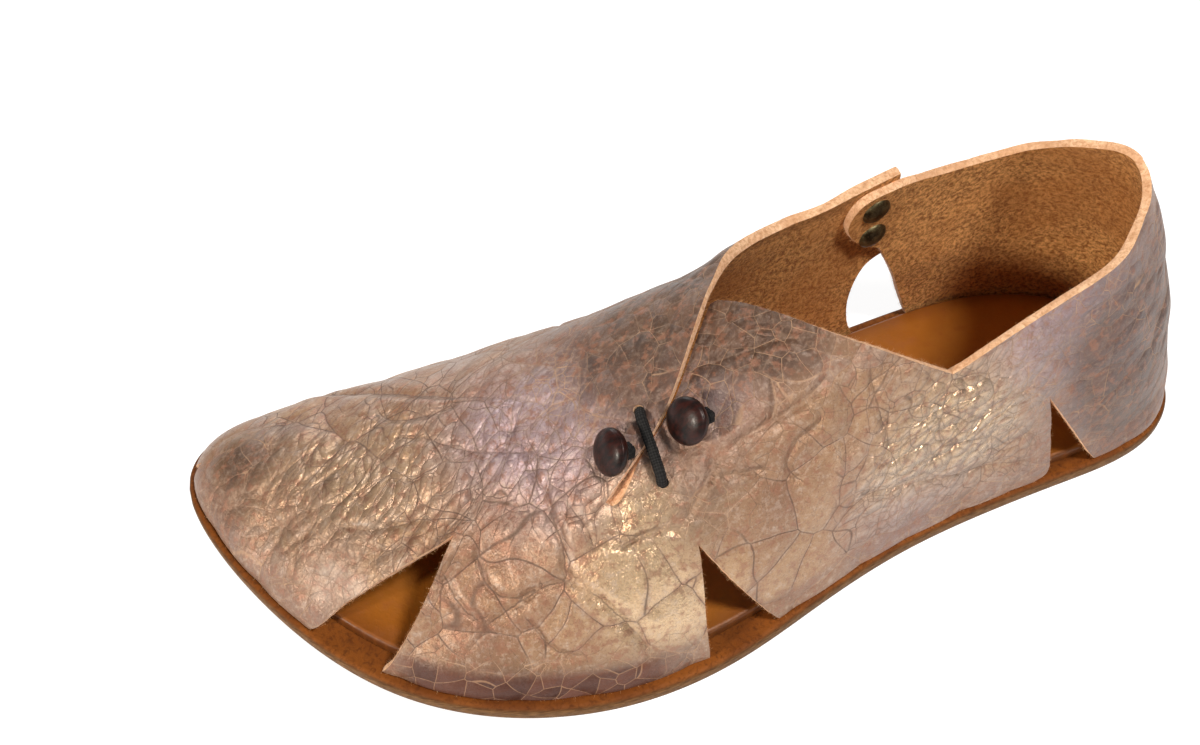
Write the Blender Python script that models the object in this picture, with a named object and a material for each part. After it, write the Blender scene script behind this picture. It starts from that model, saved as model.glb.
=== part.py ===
"""Flat leather shoe for the left foot, made as one cut piece of leather on a flat sole.

The upper is a single pattern piece: it starts as a strap on the medial side, wraps over the toe,
runs back along the lateral side and round the heel, and its end lies inside the strap, where two
rivets hold both layers. Triangles are cut out of its lower edge, and a slit at the throat is
closed by an elastic cord with two wooden buttons.

Sizes are in millimetres. In the working frame x runs from the back of the heel to the toe,
y to the lateral side and z up from the floor. The finished part is centred over its floor print.
"""

import math

import bmesh
import bpy
import numpy as np
from mathutils import Matrix, Vector
from mathutils.geometry import delaunay_2d_cdt

MM = 0.001
TINY = 1e-9
FIT_GAP = 0.3

# Sole
SOLE_LENGTH = 258.0
OUTSOLE_THICK = 4.0
INSOLE_THICK = 3.0
TOE_SPRING = 15.3
SPRING_START = 170.0
SOLE_STATIONS = 72
STATIONS_AT_ENDS = 0.75

# Upper
WALL = 2.0
LEVEL_UP_TO = 9.0
WALL_LEAN_ROOM = 0.2
WALL_LEAN_SHARE = 1.3
MESH_STEP = 6.5
EDGE_STEP = 5.0
CORNER_STEP = 1.5
NEIGHBOURS = 40
SLIT_WIDTH = 1.4

# Overlap of the counter end behind the strap
TUCK_STARTS = -40.0
TUCK_ENDS = -78.0
TUCK_LOW = 8.0
TUCK_HIGH = 26.0
UNROLL_RUN = 40.0

# Fastenings
RIVET_CAP_RADIUS = 3.9
RIVET_CAP_RISE = 1.4
RIVET_POST_RADIUS = 1.5
RIVET_SEAT_GAP = 0.55
BUTTON_RADIUS = 5.2
BUTTON_THICK = 4.4
CORD_RADIUS = 1.1
CORD_BOW = 0.4
CORD_SIDES = 8
SHANK_RADIUS = 1.4
SHANK_BOW = 0.4
SHANK_FOOT = 0.8
SHANK_NECK = 0.5
SHANK_GAP = 0.4

# Outsole outline: distance from the heel, lateral edge, medial edge
OUTLINE = (
    (4.0, 15.0, -15.3),
    (12.0, 23.6, -25.0),
    (25.0, 29.3, -32.0),
    (45.0, 32.2, -35.6),
    (70.0, 34.9, -33.5),
    (95.0, 39.2, -30.4),
    (120.0, 46.6, -30.7),
    (145.0, 54.7, -36.7),
    (165.0, 57.6, -42.5),
    (185.0, 56.2, -45.8),
    (203.0, 51.4, -46.2),
    (220.0, 42.6, -44.7),
    (235.0, 28.8, -41.1),
    (247.0, 11.8, -36.1),
    (255.0, -4.5, -29.0),
)
HEEL_BACK = (0.0, 0.0)
TOE_TIP = (SOLE_LENGTH, -20.0)

# Width of outsole left bare outside the upper: distance from the heel, width
LEDGE = (
    (0.0, 2.0),
    (60.0, 2.0),
    (110.0, 2.5),
    (150.0, 4.0),
    (200.0, 4.5),
    (240.0, 4.0),
    (258.0, 3.0),
)

# Crown of the last over each place on the sole edge:
# sole edge x, then the crown's x, y and height
CROWN = (
    (0.0, 47.0, 0.0, 100.0),
    (30.0, 61.0, 0.0, 99.0),
    (60.0, 80.0, 0.0, 97.0),
    (90.0, 98.0, 0.0, 88.0),
    (120.0, 122.0, 0.0, 71.0),
    (144.0, 144.0, 0.0, 61.6),
    (165.0, 165.0, -1.0, 52.5),
    (185.0, 184.0, -2.0, 45.0),
    (207.0, 205.0, -4.0, 38.5),
    (229.0, 222.0, -8.0, 34.0),
    (247.0, 234.0, -13.0, 31.5),
    (258.0, 241.0, -17.0, 30.0),
)

# Roundness of the last's sections, 1 for a straight slope and 2 for an ellipse:
# sole edge x, lateral side, medial side
ROUNDNESS = (
    (0.0, 1.28, 1.28),
    (20.0, 1.4, 1.5),
    (40.0, 1.75, 2.0),
    (60.0, 1.95, 2.5),
    (80.0, 2.0, 2.7),
    (105.0, 2.0, 2.4),
    (130.0, 2.0, 2.0),
    (155.0, 2.0, 1.88),
    (225.0, 2.0, 1.88),
    (258.0, 1.95, 1.95),
)

# Edge of the outsole and of the insole from floor side to foot side: inset, share of the thickness
OUTSOLE_EDGE = ((0.7, 0.0), (0.0, 0.2), (0.0, 0.68), (0.4, 0.92), (1.3, 1.0))
INSOLE_EDGE = ((0.0, 0.0), (0.0, 0.6), (0.25, 0.88), (0.9, 1.0))

# Pattern of the upper. Each point is a distance along the sole edge from the back of the heel
# (lateral side first, round the toe to the medial side, less than zero for the counter's medial
# end) and a distance up the leather. A distance up beyond the crown goes on down the other side.
CUTOUT_HEEL = ((50.7, 0.0), (71.3, 31.3), (65.8, 5.0))
FLAP_CORNER = ((65.8, 5.0), (66.4, 1.6), (69.5, 0.0))
CUTOUT_BALL = ((148.6, 0.0), (168.0, 32.7), (167.9, 0.0))
CUTOUT_TOE = ((241.2, 0.0), (218.9, 38.4), (228.6, 31.2), (238.9, 22.6), (249.6, 12.6), (260.0, 0.0))
INSTEP_FRONT = ((405.0, 0.0), (404.5, 20.0), (408.0, 43.5))
INSTEP_BACK = ((408.0, 43.5), (431.0, 0.0))
TOE_DART = ((307.0, 0.0), (309.5, 6.0), (312.0, 0.0))
ARCH_EDGE = ((496.0, 0.0), (492.5, 9.0), (491.5, 18.0), (495.0, 29.0), (504.0, 33.0))
STRAP_END = ((504.0, 33.0), (498.0, 63.5))
STRAP_TOP = (
    (498.0, 63.5),
    (480.0, 60.5),
    (466.0, 59.5),
    (455.0, 62.5),
    (446.0, 67.5),
    (439.0, 73.0),
    (430.5, 81.2),
    (421.1, 90.2),
    (410.1, 96.1),
    (403.5, 99.3),
)
SLIT_LATERAL = (
    (178.8, 52.0),
    (170.3, 59.8),
    (166.5, 65.0),
    (158.8, 76.4),
    (149.6, 84.5),
)
THROAT_EDGE = ((149.6, 84.5), (139.9, 76.2), (128.9, 67.7), (116.6, 60.0), (100.4, 49.4))
COLLAR_EDGE = (
    (100.4, 49.4),
    (73.8, 58.7),
    (48.9, 64.7),
    (27.0, 71.0),
    (12.0, 76.3),
    (-2.0, 78.8),
    (-20.0, 77.8),
    (-33.0, 74.6),
    (-46.5, 68.2),
    (-59.0, 63.3),
    (-76.0, 60.5),
    (-94.0, 60.5),
    (-103.0, 58.0),
    (-106.0, 51.0),
    (-102.0, 43.0),
    (-93.5, 37.0),
)
COUNTER_EDGE = ((-93.5, 37.0), (-88.5, 28.0), (-79.0, 9.0), (-75.0, 0.0))
COUNTER_REACH = min(row[0] for row in COLLAR_EDGE)
COLLAR_TOP = max(row[1] for row in COLLAR_EDGE)

# Rivets: name, distance along the strap from the heel back, height
RIVETS = (("rivet_top", 491.5, 53.5), ("rivet_bottom", 492.5, 43.5))
RIVET_HOLE_SIDES = 10

# Half profile of a rivet cap from its rim to its middle: share of the radius, share of the rise
RIVET_DOME = ((1.0, 0.0), (1.0, 0.25), (0.86, 0.62), (0.5, 0.92), (0.0, 1.0))

# Buttons: name, shank hole along and up, lean towards the toe in degrees, lift, reach to the toe
BUTTONS = (
    ("button_front", 177.5, 55.6, 45.0, 4.8, 3.6),
    ("button_back", 160.0, 58.9, 40.0, 4.3, 4.8),
)

# Ends of the cord bar across the slit, along and up
CORD_BAR = ((173.4, 63.7), (172.7, 47.9))
CORD_POINTS = 9

# Half profile of a button from the back to the face: share of the radius, share of the thickness
BUTTON_PROFILE = (
    (0.0, -0.42),
    (0.55, -0.40),
    (0.90, -0.22),
    (1.0, -0.02),
    (0.97, 0.14),
    (0.80, 0.36),
    (0.45, 0.53),
    (0.0, 0.58),
)
TURN_SIDES = 20
SMOOTH_UP_TO = 40.0

# Finishes: name, colour, roughness, metallic
FINISHES = {
    "crackled_leather": ((0.30, 0.21, 0.18, 1.0), 0.38, 0.25),
    "tan_leather": ((0.45, 0.19, 0.06, 1.0), 0.45, 0.0),
    "sole_leather": ((0.25, 0.13, 0.06, 1.0), 0.6, 0.0),
    "dark_wood": ((0.035, 0.014, 0.010, 1.0), 0.3, 0.0),
    "antique_brass": ((0.10, 0.07, 0.05, 1.0), 0.35, 0.9),
    "black_elastic": ((0.012, 0.012, 0.012, 1.0), 0.8, 0.0),
}


def column(table, index, x):
    """Read a column of a table at x, joined by smooth curves."""
    rows = np.array(table)
    knots = rows[:, 0]
    values = rows[:, index]
    slopes = np.gradient(values, knots)
    x = np.clip(x, knots[0], knots[-1])
    at = np.clip(np.searchsorted(knots, x) - 1, 0, len(knots) - 2)
    width = knots[at + 1] - knots[at]
    s = (x - knots[at]) / width
    rise = 3 * s**2 - 2 * s**3
    start = s - 2 * s**2 + s**3
    end = s**3 - s**2
    level = values[at] * (1 - rise) + values[at + 1] * rise
    return level + width * (slopes[at] * start + slopes[at + 1] * end)


def smoothstep(low, high, value):
    s = np.clip((value - low) / (high - low), 0.0, 1.0)
    return s * s * (3 - 2 * s)


def closed_spline(points, count):
    """A smooth closed curve through the points, read at count places."""
    points = np.array(points)
    total = len(points)
    chord = np.linalg.norm(np.roll(points, -1, axis=0) - points, axis=1)
    matrix = np.zeros((total, total))
    right = np.zeros((total, 2))
    for i in range(total):
        before = chord[i - 1]
        after = chord[i]
        following = (i + 1) % total
        matrix[i, i - 1] = before
        matrix[i, i] = 2 * (before + after)
        matrix[i, following] = after
        right[i] = 6 * ((points[following] - points[i]) / after - (points[i] - points[i - 1]) / before)
    bend = np.linalg.solve(matrix, right)
    ends = np.concatenate([[0.0], np.cumsum(chord)])
    places = np.linspace(0.0, ends[-1], count, endpoint=False)
    span = np.clip(np.searchsorted(ends, places, side="right") - 1, 0, total - 1)
    following = (span + 1) % total
    width = chord[span][:, None]
    b = (places - ends[span])[:, None] / width
    a = 1 - b
    curve = a * points[span] + b * points[following]
    return curve + width**2 / 6 * ((a**3 - a) * bend[span] + (b**3 - b) * bend[following])


def open_spline(points, step):
    """Points about step apart on a smooth curve through the given ones."""
    points = np.array(points)
    chord = np.linalg.norm(np.diff(points, axis=0), axis=1)
    knots = np.concatenate([[0.0], np.cumsum(chord)])
    count = max(int(round(knots[-1] / step)), len(points) - 1)
    places = np.linspace(0.0, knots[-1], count + 1)
    rows = np.column_stack([knots, points])
    return np.column_stack([column(rows, 1, places), column(rows, 2, places)])


def straight(points, step):
    """Points about step apart on straight lines between the given ones."""
    run = [np.array(points[0])]
    for start, end in zip(points, points[1:]):
        start = np.array(start)
        end = np.array(end)
        count = max(int(round(np.linalg.norm(end - start) / step)), 1)
        run += [start + (end - start) * k / count for k in range(1, count + 1)]
    return np.array(run)


def outline_inset(curve, inset):
    """The closed curve moved inwards. It runs clockwise seen from above."""
    along = np.roll(curve, -1, axis=0) - np.roll(curve, 1, axis=0)
    along /= np.linalg.norm(along, axis=1)[:, None]
    inward = np.column_stack([along[:, 1], -along[:, 0]])
    return curve + inward * np.reshape(inset, (-1, 1))


def spring(x):
    """Height of the sole's underside over the floor."""
    return TOE_SPRING * np.clip((x - SPRING_START) / (SOLE_LENGTH - SPRING_START), 0, None) ** 2


OUTLINE_POINTS = 2400
lateral = [row[:2] for row in OUTLINE]
medial = [(row[0], row[2]) for row in reversed(OUTLINE)]
SOLE_CURVE = closed_spline([HEEL_BACK] + lateral + [TOE_TIP] + medial, OUTLINE_POINTS)
FEATHER = outline_inset(SOLE_CURVE, column(LEDGE, 1, SOLE_CURVE[:, 0]))
FEATHER_CLOSED = np.vstack([FEATHER, FEATHER[:1]])
FEATHER_RUN = np.concatenate([[0.0], np.cumsum(np.linalg.norm(np.diff(FEATHER_CLOSED, axis=0), axis=1))])
GIRTH = FEATHER_RUN[-1]
TOE_INDEX = int(np.argmax(FEATHER[:, 0]))
TOE_RUN = FEATHER_RUN[TOE_INDEX]
SOLE_CENTRE = (SOLE_CURVE.max(axis=0) + SOLE_CURVE.min(axis=0)) / 2


def sole_edge(along):
    """Place on the feather line, where the upper meets the outsole."""
    along = np.mod(along, GIRTH)
    x = np.interp(along, FEATHER_RUN, FEATHER_CLOSED[:, 0])
    y = np.interp(along, FEATHER_RUN, FEATHER_CLOSED[:, 1])
    return np.column_stack([x, y])


def facing(along):
    """Place on the other side of the shoe at the same distance from the heel."""
    along = np.mod(along, GIRTH)
    x = sole_edge(along)[:, 0]
    side = np.where(along < TOE_RUN, 1, 0)
    lateral_run = np.interp(x, FEATHER[: TOE_INDEX + 1, 0], FEATHER_RUN[: TOE_INDEX + 1])
    medial_x = FEATHER_CLOSED[TOE_INDEX:, 0][::-1]
    medial_run = np.interp(x, medial_x, FEATHER_RUN[TOE_INDEX:][::-1])
    return np.where(side == 1, medial_run, lateral_run)


RIB_STEPS = 60


def ribs(along):
    """Rounded arcs from the sole edge up to the crown of the last, with their lengths."""
    base = sole_edge(along)
    x = base[:, 0]
    floor = spring(x) + OUTSOLE_THICK + FIT_GAP
    start = np.column_stack([base, floor])[:, None, :]
    top = np.column_stack([column(CROWN, k, x) for k in (1, 2, 3)])[:, None, :]
    on_lateral = np.mod(along, GIRTH) < TOE_RUN
    roundness = np.where(on_lateral, column(ROUNDNESS, 1, x), column(ROUNDNESS, 2, x))
    angle = np.linspace(0.0, math.pi / 2, RIB_STEPS + 1)[None, :]
    power = 2 / roundness[:, None]
    over = 1 - np.cos(angle) ** power
    rise = np.sin(angle) ** power
    share = np.stack([over, over, rise], axis=2)
    curves = start + (top - start) * share
    steps = np.linalg.norm(np.diff(curves, axis=1), axis=2)
    lengths = np.concatenate([np.zeros((len(x), 1)), np.cumsum(steps, axis=1)], axis=1)
    return curves, lengths


def over_crown(along, up):
    """Turn a distance beyond the crown into one on the facing side."""
    full = ribs(along)[1][:, -1]
    other = facing(along)
    other_full = ribs(other)[1][:, -1]
    beyond = up > full
    return np.where(beyond, other, along), np.where(beyond, full + other_full - up, up)


def last_surface(along, up):
    """Points of the last's skin at distances along the sole edge and up the leather."""
    along = np.atleast_1d(np.asarray(along, dtype=float))
    up = np.atleast_1d(np.asarray(up, dtype=float))
    along, up = over_crown(along, up)
    curves, lengths = ribs(along)
    points = np.empty((len(along), 3))
    for i in range(len(along)):
        for axis in range(3):
            points[i, axis] = np.interp(up[i], lengths[i], curves[i, :, axis])
    return points


PROBE = 0.5


def last_normal(along, up):
    """Outward direction of the last's skin."""
    along = np.atleast_1d(np.asarray(along, dtype=float))
    up = np.maximum(np.atleast_1d(np.asarray(up, dtype=float)), PROBE)
    across = last_surface(along + PROBE, up) - last_surface(along - PROBE, up)
    rise = last_surface(along, up + PROBE) - last_surface(along, up - PROBE)
    normal = np.cross(rise, across)
    return normal / np.linalg.norm(normal, axis=1)[:, None]


def leather_surface(along, up):
    """Outer face of the leather: the last's skin, tucked in where the counter lies in the strap."""
    along = np.atleast_1d(np.asarray(along, dtype=float))
    up = np.atleast_1d(np.asarray(up, dtype=float))
    tuck = smoothstep(-TUCK_STARTS, -TUCK_ENDS, -along) * smoothstep(TUCK_LOW, TUCK_HIGH, up)
    depth = (WALL + FIT_GAP) * tuck
    return last_surface(along, up) - last_normal(along, up) * depth[:, None]


def wall_direction(along, up):
    """Outward direction through the wall, turned level where the leather meets the sole."""
    normal = last_normal(along, up)
    normal[:, 2] *= smoothstep(0.0, LEVEL_UP_TO, np.asarray(up, dtype=float))
    return normal / np.linalg.norm(normal, axis=1)[:, None]


def flat_chart(along, up):
    """The pattern laid flat: ribs straight from the sole edge to the crown line.

    The counter's medial end is unrolled straight on from the back of the heel, clear of the strap.
    """
    along, up = over_crown(np.asarray(along, dtype=float), np.asarray(up, dtype=float))
    curves, lengths = ribs(np.maximum(along, 0.0))
    base = curves[:, 0, :2]
    flat = base + (curves[:, -1, :2] - base) * (up / lengths[:, -1])[:, None]
    unrolled = smoothstep(0.0, UNROLL_RUN, -along)
    flat[:, 0] += (base[:, 0] + up - flat[:, 0]) * unrolled
    flat[:, 1] += np.minimum(along, 0.0)
    return flat


def pattern_edge():
    """The cut edge of the upper, once round, as distances along and up."""
    slit_end = STRAP_TOP[-1]
    slit = np.array([slit_end_on_lateral()] + list(SLIT_LATERAL))
    slit = open_spline(slit, EDGE_STEP)[1:]
    slit[:-1, 1] -= SLIT_WIDTH
    runs = [
        open_spline(COUNTER_EDGE, EDGE_STEP),
        straight((COUNTER_EDGE[-1], CUTOUT_HEEL[0]), EDGE_STEP),
        straight(CUTOUT_HEEL, EDGE_STEP),
        open_spline(FLAP_CORNER, CORNER_STEP),
        straight((FLAP_CORNER[-1], CUTOUT_BALL[0]), EDGE_STEP),
        straight(CUTOUT_BALL, EDGE_STEP),
        straight((CUTOUT_BALL[-1], CUTOUT_TOE[0]), EDGE_STEP),
        straight(CUTOUT_TOE, EDGE_STEP),
        straight((CUTOUT_TOE[-1], TOE_DART[0]), EDGE_STEP),
        straight(TOE_DART, EDGE_STEP),
        straight((TOE_DART[-1], INSTEP_FRONT[0]), EDGE_STEP),
        open_spline(INSTEP_FRONT, EDGE_STEP),
        straight(INSTEP_BACK, EDGE_STEP),
        straight((INSTEP_BACK[-1], ARCH_EDGE[0]), EDGE_STEP),
        open_spline(ARCH_EDGE, EDGE_STEP),
        straight(STRAP_END, EDGE_STEP),
        open_spline(STRAP_TOP, EDGE_STEP),
        np.vstack([[slit_end], slit]),
        open_spline(THROAT_EDGE, EDGE_STEP),
        open_spline(COLLAR_EDGE, EDGE_STEP),
    ]
    return np.vstack([run[:-1] for run in runs])


def slit_end_on_lateral():
    """The slit's lower end, counted from the lateral side."""
    along, up = over_crown(np.array([STRAP_TOP[-1][0]]), np.array([STRAP_TOP[-1][1]]))
    return along[0], up[0]


def inside(polygon, points):
    """Which points lie inside a closed polygon."""
    found = np.zeros(len(points), dtype=bool)
    for start, end in zip(polygon, np.roll(polygon, -1, axis=0)):
        spans = (start[1] > points[:, 1]) != (end[1] > points[:, 1])
        slope = (end[0] - start[0]) / (end[1] - start[1] + TINY)
        found ^= spans & (points[:, 0] < start[0] + slope * (points[:, 1] - start[1]))
    return found


def pattern_fill(edge):
    """Points spread over the inside of the pattern, clear of its edge."""
    rows = []
    count = int(GIRTH / MESH_STEP)
    for k in range(count):
        along = GIRTH * k / count
        for start in (along, along - GIRTH):
            if start < COUNTER_REACH or start > STRAP_END[0][0]:
                continue
            full = ribs(np.array([start]))[1][0, -1]
            steps = int(round(full / MESH_STEP))
            last = steps if start < TOE_RUN else steps - 1
            rows += [(start, full * j / steps) for j in range(1, last + 1)]
    rows = np.array(rows)
    rows = rows[(rows[:, 0] >= 0) | (rows[:, 1] < COLLAR_TOP)]
    flat_edge = flat_chart(edge[:, 0], edge[:, 1])
    rows = rows[inside(flat_edge, flat_chart(rows[:, 0], rows[:, 1]))]
    edge_points = leather_surface(edge[:, 0], edge[:, 1])
    points = leather_surface(rows[:, 0], rows[:, 1])
    flat = flat_chart(rows[:, 0], rows[:, 1])
    kept = []
    for i in range(len(rows)):
        near_edge = np.linalg.norm(flat_edge - flat[i], axis=1) < MESH_STEP
        gaps = np.linalg.norm(edge_points[near_edge] - points[i], axis=1)
        crowd = [np.linalg.norm(points[j] - points[i]) for j in kept[-NEIGHBOURS:]]
        if (len(gaps) == 0 or gaps.min() > EDGE_STEP / 2) and min(crowd, default=MESH_STEP) > MESH_STEP / 2:
            kept.append(i)
    return rows[kept]


def rivet_rings():
    """Hole edges of both rivets in both layers of leather."""
    radius = RIVET_POST_RADIUS + FIT_GAP
    turn = np.linspace(0.0, 2 * math.pi, RIVET_HOLE_SIDES, endpoint=False)
    rings = []
    for name, along, up in RIVETS:
        stretch = ring_stretch(along, up)
        ring = np.column_stack([along + radius * stretch * np.cos(turn), up + radius * np.sin(turn)])
        rings += [ring, ring - np.array([GIRTH, 0.0])]
    return rings


def ring_stretch(along, up):
    """How far to go along the sole edge for one millimetre on the leather at this height."""
    ends = last_surface([along - PROBE, along + PROBE], [up, up])
    return 2 * PROBE / np.linalg.norm(ends[1] - ends[0])


def new_object(name, bm, finish):
    """Close a mesh, centre it over the floor print and give it its finish."""
    shift = Vector((-SOLE_CENTRE[0], -SOLE_CENTRE[1], 0.0))
    bmesh.ops.translate(bm, vec=shift, verts=bm.verts)
    bmesh.ops.scale(bm, vec=(MM, MM, MM), verts=bm.verts)
    mesh = bpy.data.meshes.new(name)
    bm.to_mesh(mesh)
    bm.free()
    mesh.shade_smooth()
    mesh.set_sharp_from_angle(angle=math.radians(SMOOTH_UP_TO))
    mesh.materials.append(finish_material(finish))
    item = bpy.data.objects.new(name, mesh)
    bpy.context.scene.collection.objects.link(item)
    return item


def finish_material(name):
    """One Principled finish, made once."""
    found = bpy.data.materials.get(name)
    if found:
        return found
    colour, roughness, metallic = FINISHES[name]
    material = bpy.data.materials.new(name)
    material.use_nodes = True
    shader = material.node_tree.nodes["Principled BSDF"]
    shader.inputs["Base Color"].default_value = colour
    shader.inputs["Roughness"].default_value = roughness
    shader.inputs["Metallic"].default_value = metallic
    return material


def make_upper():
    """Triangulate the flat pattern, bend it over the last and close it with the inner face."""
    edge = pattern_edge()
    rings = rivet_rings()
    fill = pattern_fill(edge)
    for ring in rings:
        centre = last_surface(*ring.mean(axis=0))[0]
        far = np.linalg.norm(last_surface(fill[:, 0], fill[:, 1]) - centre, axis=1) > EDGE_STEP
        fill = fill[far]
    places = np.vstack([edge] + rings + [fill])
    flat = flat_chart(places[:, 0], places[:, 1])
    loops = [list(range(len(edge)))]
    start = len(edge)
    for ring in rings:
        loops.append(list(range(start, start + len(ring))))
        start += len(ring)
    lines = [(loop[i - 1], loop[i]) for loop in loops for i in range(len(loop))]
    result = delaunay_2d_cdt([Vector(p) for p in flat], lines, [], 0, TINY, True)
    corners, faces, origins = result[0], result[2], result[3]
    if not all(origins):
        raise ValueError("the pattern's edges cross")
    source = [origin[0] for origin in origins]
    centres = np.array([np.mean([corners[i] for i in face], axis=0) for face in faces])
    keep = inside(flat[loops[0]], centres)
    for loop in loops[1:]:
        keep &= ~inside(flat[loop], centres)
    skin = leather_surface(places[:, 0], places[:, 1])
    lining = skin - wall_direction(places[:, 0], places[:, 1]) * WALL
    bm = bmesh.new()
    outer = [bm.verts.new(skin[i]) for i in source]
    inner = [bm.verts.new(lining[i]) for i in source]
    sides = set()
    for face, kept in zip(faces, keep):
        if kept:
            bm.faces.new([outer[i] for i in face])
            bm.faces.new([inner[i] for i in reversed(face)])
            sides.update(zip(face, face[1:] + face[:1]))
    for a, b in sorted(sides):
        if (b, a) not in sides:
            bm.faces.new((outer[b], outer[a], inner[a], inner[b]))
    bmesh.ops.delete(bm, geom=[v for v in bm.verts if not v.link_faces], context="VERTS")
    bmesh.ops.triangulate(bm, faces=bm.faces)
    return new_object("upper", bm, "crackled_leather")


def stations(curve):
    """Both edges of a closed outline at shared distances from the heel."""
    toe = int(np.argmax(curve[:, 0]))
    heel = int(np.argmin(curve[:, 0]))
    rolled = np.roll(curve, -heel, axis=0)
    toe = (toe - heel) % len(curve)
    lateral_side = rolled[: toe + 1]
    medial_side = np.vstack([rolled[toe:], rolled[:1]])[::-1]
    turn = np.linspace(0.0, math.pi, SOLE_STATIONS + 1)
    even = np.linspace(0.0, 1.0, SOLE_STATIONS + 1)
    share = STATIONS_AT_ENDS * (1 - np.cos(turn)) / 2 + (1 - STATIONS_AT_ENDS) * even
    x = lateral_side[0, 0] + (lateral_side[-1, 0] - lateral_side[0, 0]) * share
    lateral_y = np.interp(x, lateral_side[:, 0], lateral_side[:, 1])
    medial_y = np.interp(x, medial_side[:, 0], medial_side[:, 1])
    return x, lateral_y, medial_y


def make_plate(name, curve, edge_rows, low, thick, finish):
    """A flat sole layer with a shaped edge that follows the toe spring."""
    bm = bmesh.new()
    loops = []
    for inset, share in edge_rows:
        x, lateral_y, medial_y = stations(outline_inset(curve, inset))
        z = spring(x) + low + thick * share
        lateral_verts = [bm.verts.new(p) for p in zip(x, lateral_y, z)]
        medial_verts = [bm.verts.new(p) for p in zip(x[1:-1], medial_y[1:-1], z[1:-1])]
        loops.append((lateral_verts, [lateral_verts[0]] + medial_verts + [lateral_verts[-1]]))
    for lower, upper in zip(loops, loops[1:]):
        for i in range(SOLE_STATIONS):
            bm.faces.new((lower[0][i + 1], lower[0][i], upper[0][i], upper[0][i + 1]))
            bm.faces.new((lower[1][i], lower[1][i + 1], upper[1][i + 1], upper[1][i]))
    for side, (lateral_verts, medial_verts) in ((0, loops[0]), (1, loops[-1])):
        for i in range(SOLE_STATIONS):
            ring = [lateral_verts[i], lateral_verts[i + 1], medial_verts[i + 1], medial_verts[i]]
            face = list(dict.fromkeys(ring))
            bm.faces.new(face if side == 0 else face[::-1])
    bmesh.ops.triangulate(bm, faces=bm.faces)
    return new_object(name, bm, finish)


def insole_curve():
    """Edge of the insole: inside the wall, as far in as the wall leans at the insole's top."""
    along = FEATHER_RUN[:-1]
    curves, lengths = ribs(along)
    top = INSOLE_THICK + FIT_GAP
    lean = np.empty(len(along))
    for i in range(len(along)):
        height = curves[i, :, 2] - curves[i, 0, 2]
        aside = np.linalg.norm(curves[i, :, :2] - curves[i, 0, :2], axis=1)
        lean[i] = np.interp(top, height, aside)
    return outline_inset(FEATHER, WALL + FIT_GAP + WALL_LEAN_ROOM + lean * WALL_LEAN_SHARE)


def turned(profile):
    """A closed solid turned about z from a half profile of radius and height."""
    bm = bmesh.new()
    rings = []
    for radius, height in profile:
        if radius == 0.0:
            rings.append([bm.verts.new((0.0, 0.0, height))])
            continue
        turn = [2 * math.pi * k / TURN_SIDES for k in range(TURN_SIDES)]
        rings.append([bm.verts.new((radius * math.cos(a), radius * math.sin(a), height)) for a in turn])
    for lower, upper in zip(rings, rings[1:]):
        for k in range(TURN_SIDES):
            following = (k + 1) % TURN_SIDES
            ring = [lower[k % len(lower)], lower[following % len(lower)]]
            ring += [upper[following % len(upper)], upper[k % len(upper)]]
            bm.faces.new(list(dict.fromkeys(ring)))
    bmesh.ops.recalc_face_normals(bm, faces=bm.faces)
    bmesh.ops.triangulate(bm, faces=bm.faces)
    return bm


def stand_on(bm, point, axis):
    """Turn a mesh so that its z lies along the axis, and move it to the point."""
    turn = Vector((0.0, 0.0, 1.0)).rotation_difference(Vector(axis)).to_matrix().to_4x4()
    bm.transform(Matrix.Translation(Vector(point)) @ turn)


def make_rivet(name, along, up):
    """A rivet through strap and counter: a domed cap on each side of a post."""
    layers = 2 * WALL + FIT_GAP
    outer = RIVET_SEAT_GAP
    inner = -layers - RIVET_SEAT_GAP
    profile = [(RIVET_CAP_RADIUS * r, inner - RIVET_CAP_RISE * h) for r, h in reversed(RIVET_DOME)]
    profile += [(RIVET_POST_RADIUS, inner), (RIVET_POST_RADIUS, outer)]
    profile += [(RIVET_CAP_RADIUS * r, outer + RIVET_CAP_RISE * h) for r, h in RIVET_DOME]
    bm = turned(profile)
    stand_on(bm, last_surface(along, up)[0], last_normal(along, up)[0])
    return new_object(name, bm, "antique_brass")


def tube(points, radius, sides=CORD_SIDES):
    """A closed round tube through the points."""
    points = [Vector(p) for p in points]
    bm = bmesh.new()
    rings = []
    side = None
    for i, point in enumerate(points):
        ahead = points[min(i + 1, len(points) - 1)] - points[max(i - 1, 0)]
        ahead.normalize()
        side = ahead.orthogonal() if side is None else side - ahead * side.dot(ahead)
        side.normalize()
        across = ahead.cross(side)
        turn = [2 * math.pi * k / sides for k in range(sides)]
        ring = [point + radius * (math.cos(a) * side + math.sin(a) * across) for a in turn]
        rings.append([bm.verts.new(p) for p in ring])
    for lower, upper in zip(rings, rings[1:]):
        for k in range(sides):
            following = (k + 1) % sides
            bm.faces.new((lower[k], lower[following], upper[following], upper[k]))
    bm.faces.new(rings[0][::-1])
    bm.faces.new(rings[-1])
    bmesh.ops.recalc_face_normals(bm, faces=bm.faces)
    bmesh.ops.triangulate(bm, faces=bm.faces)
    return bm


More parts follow.
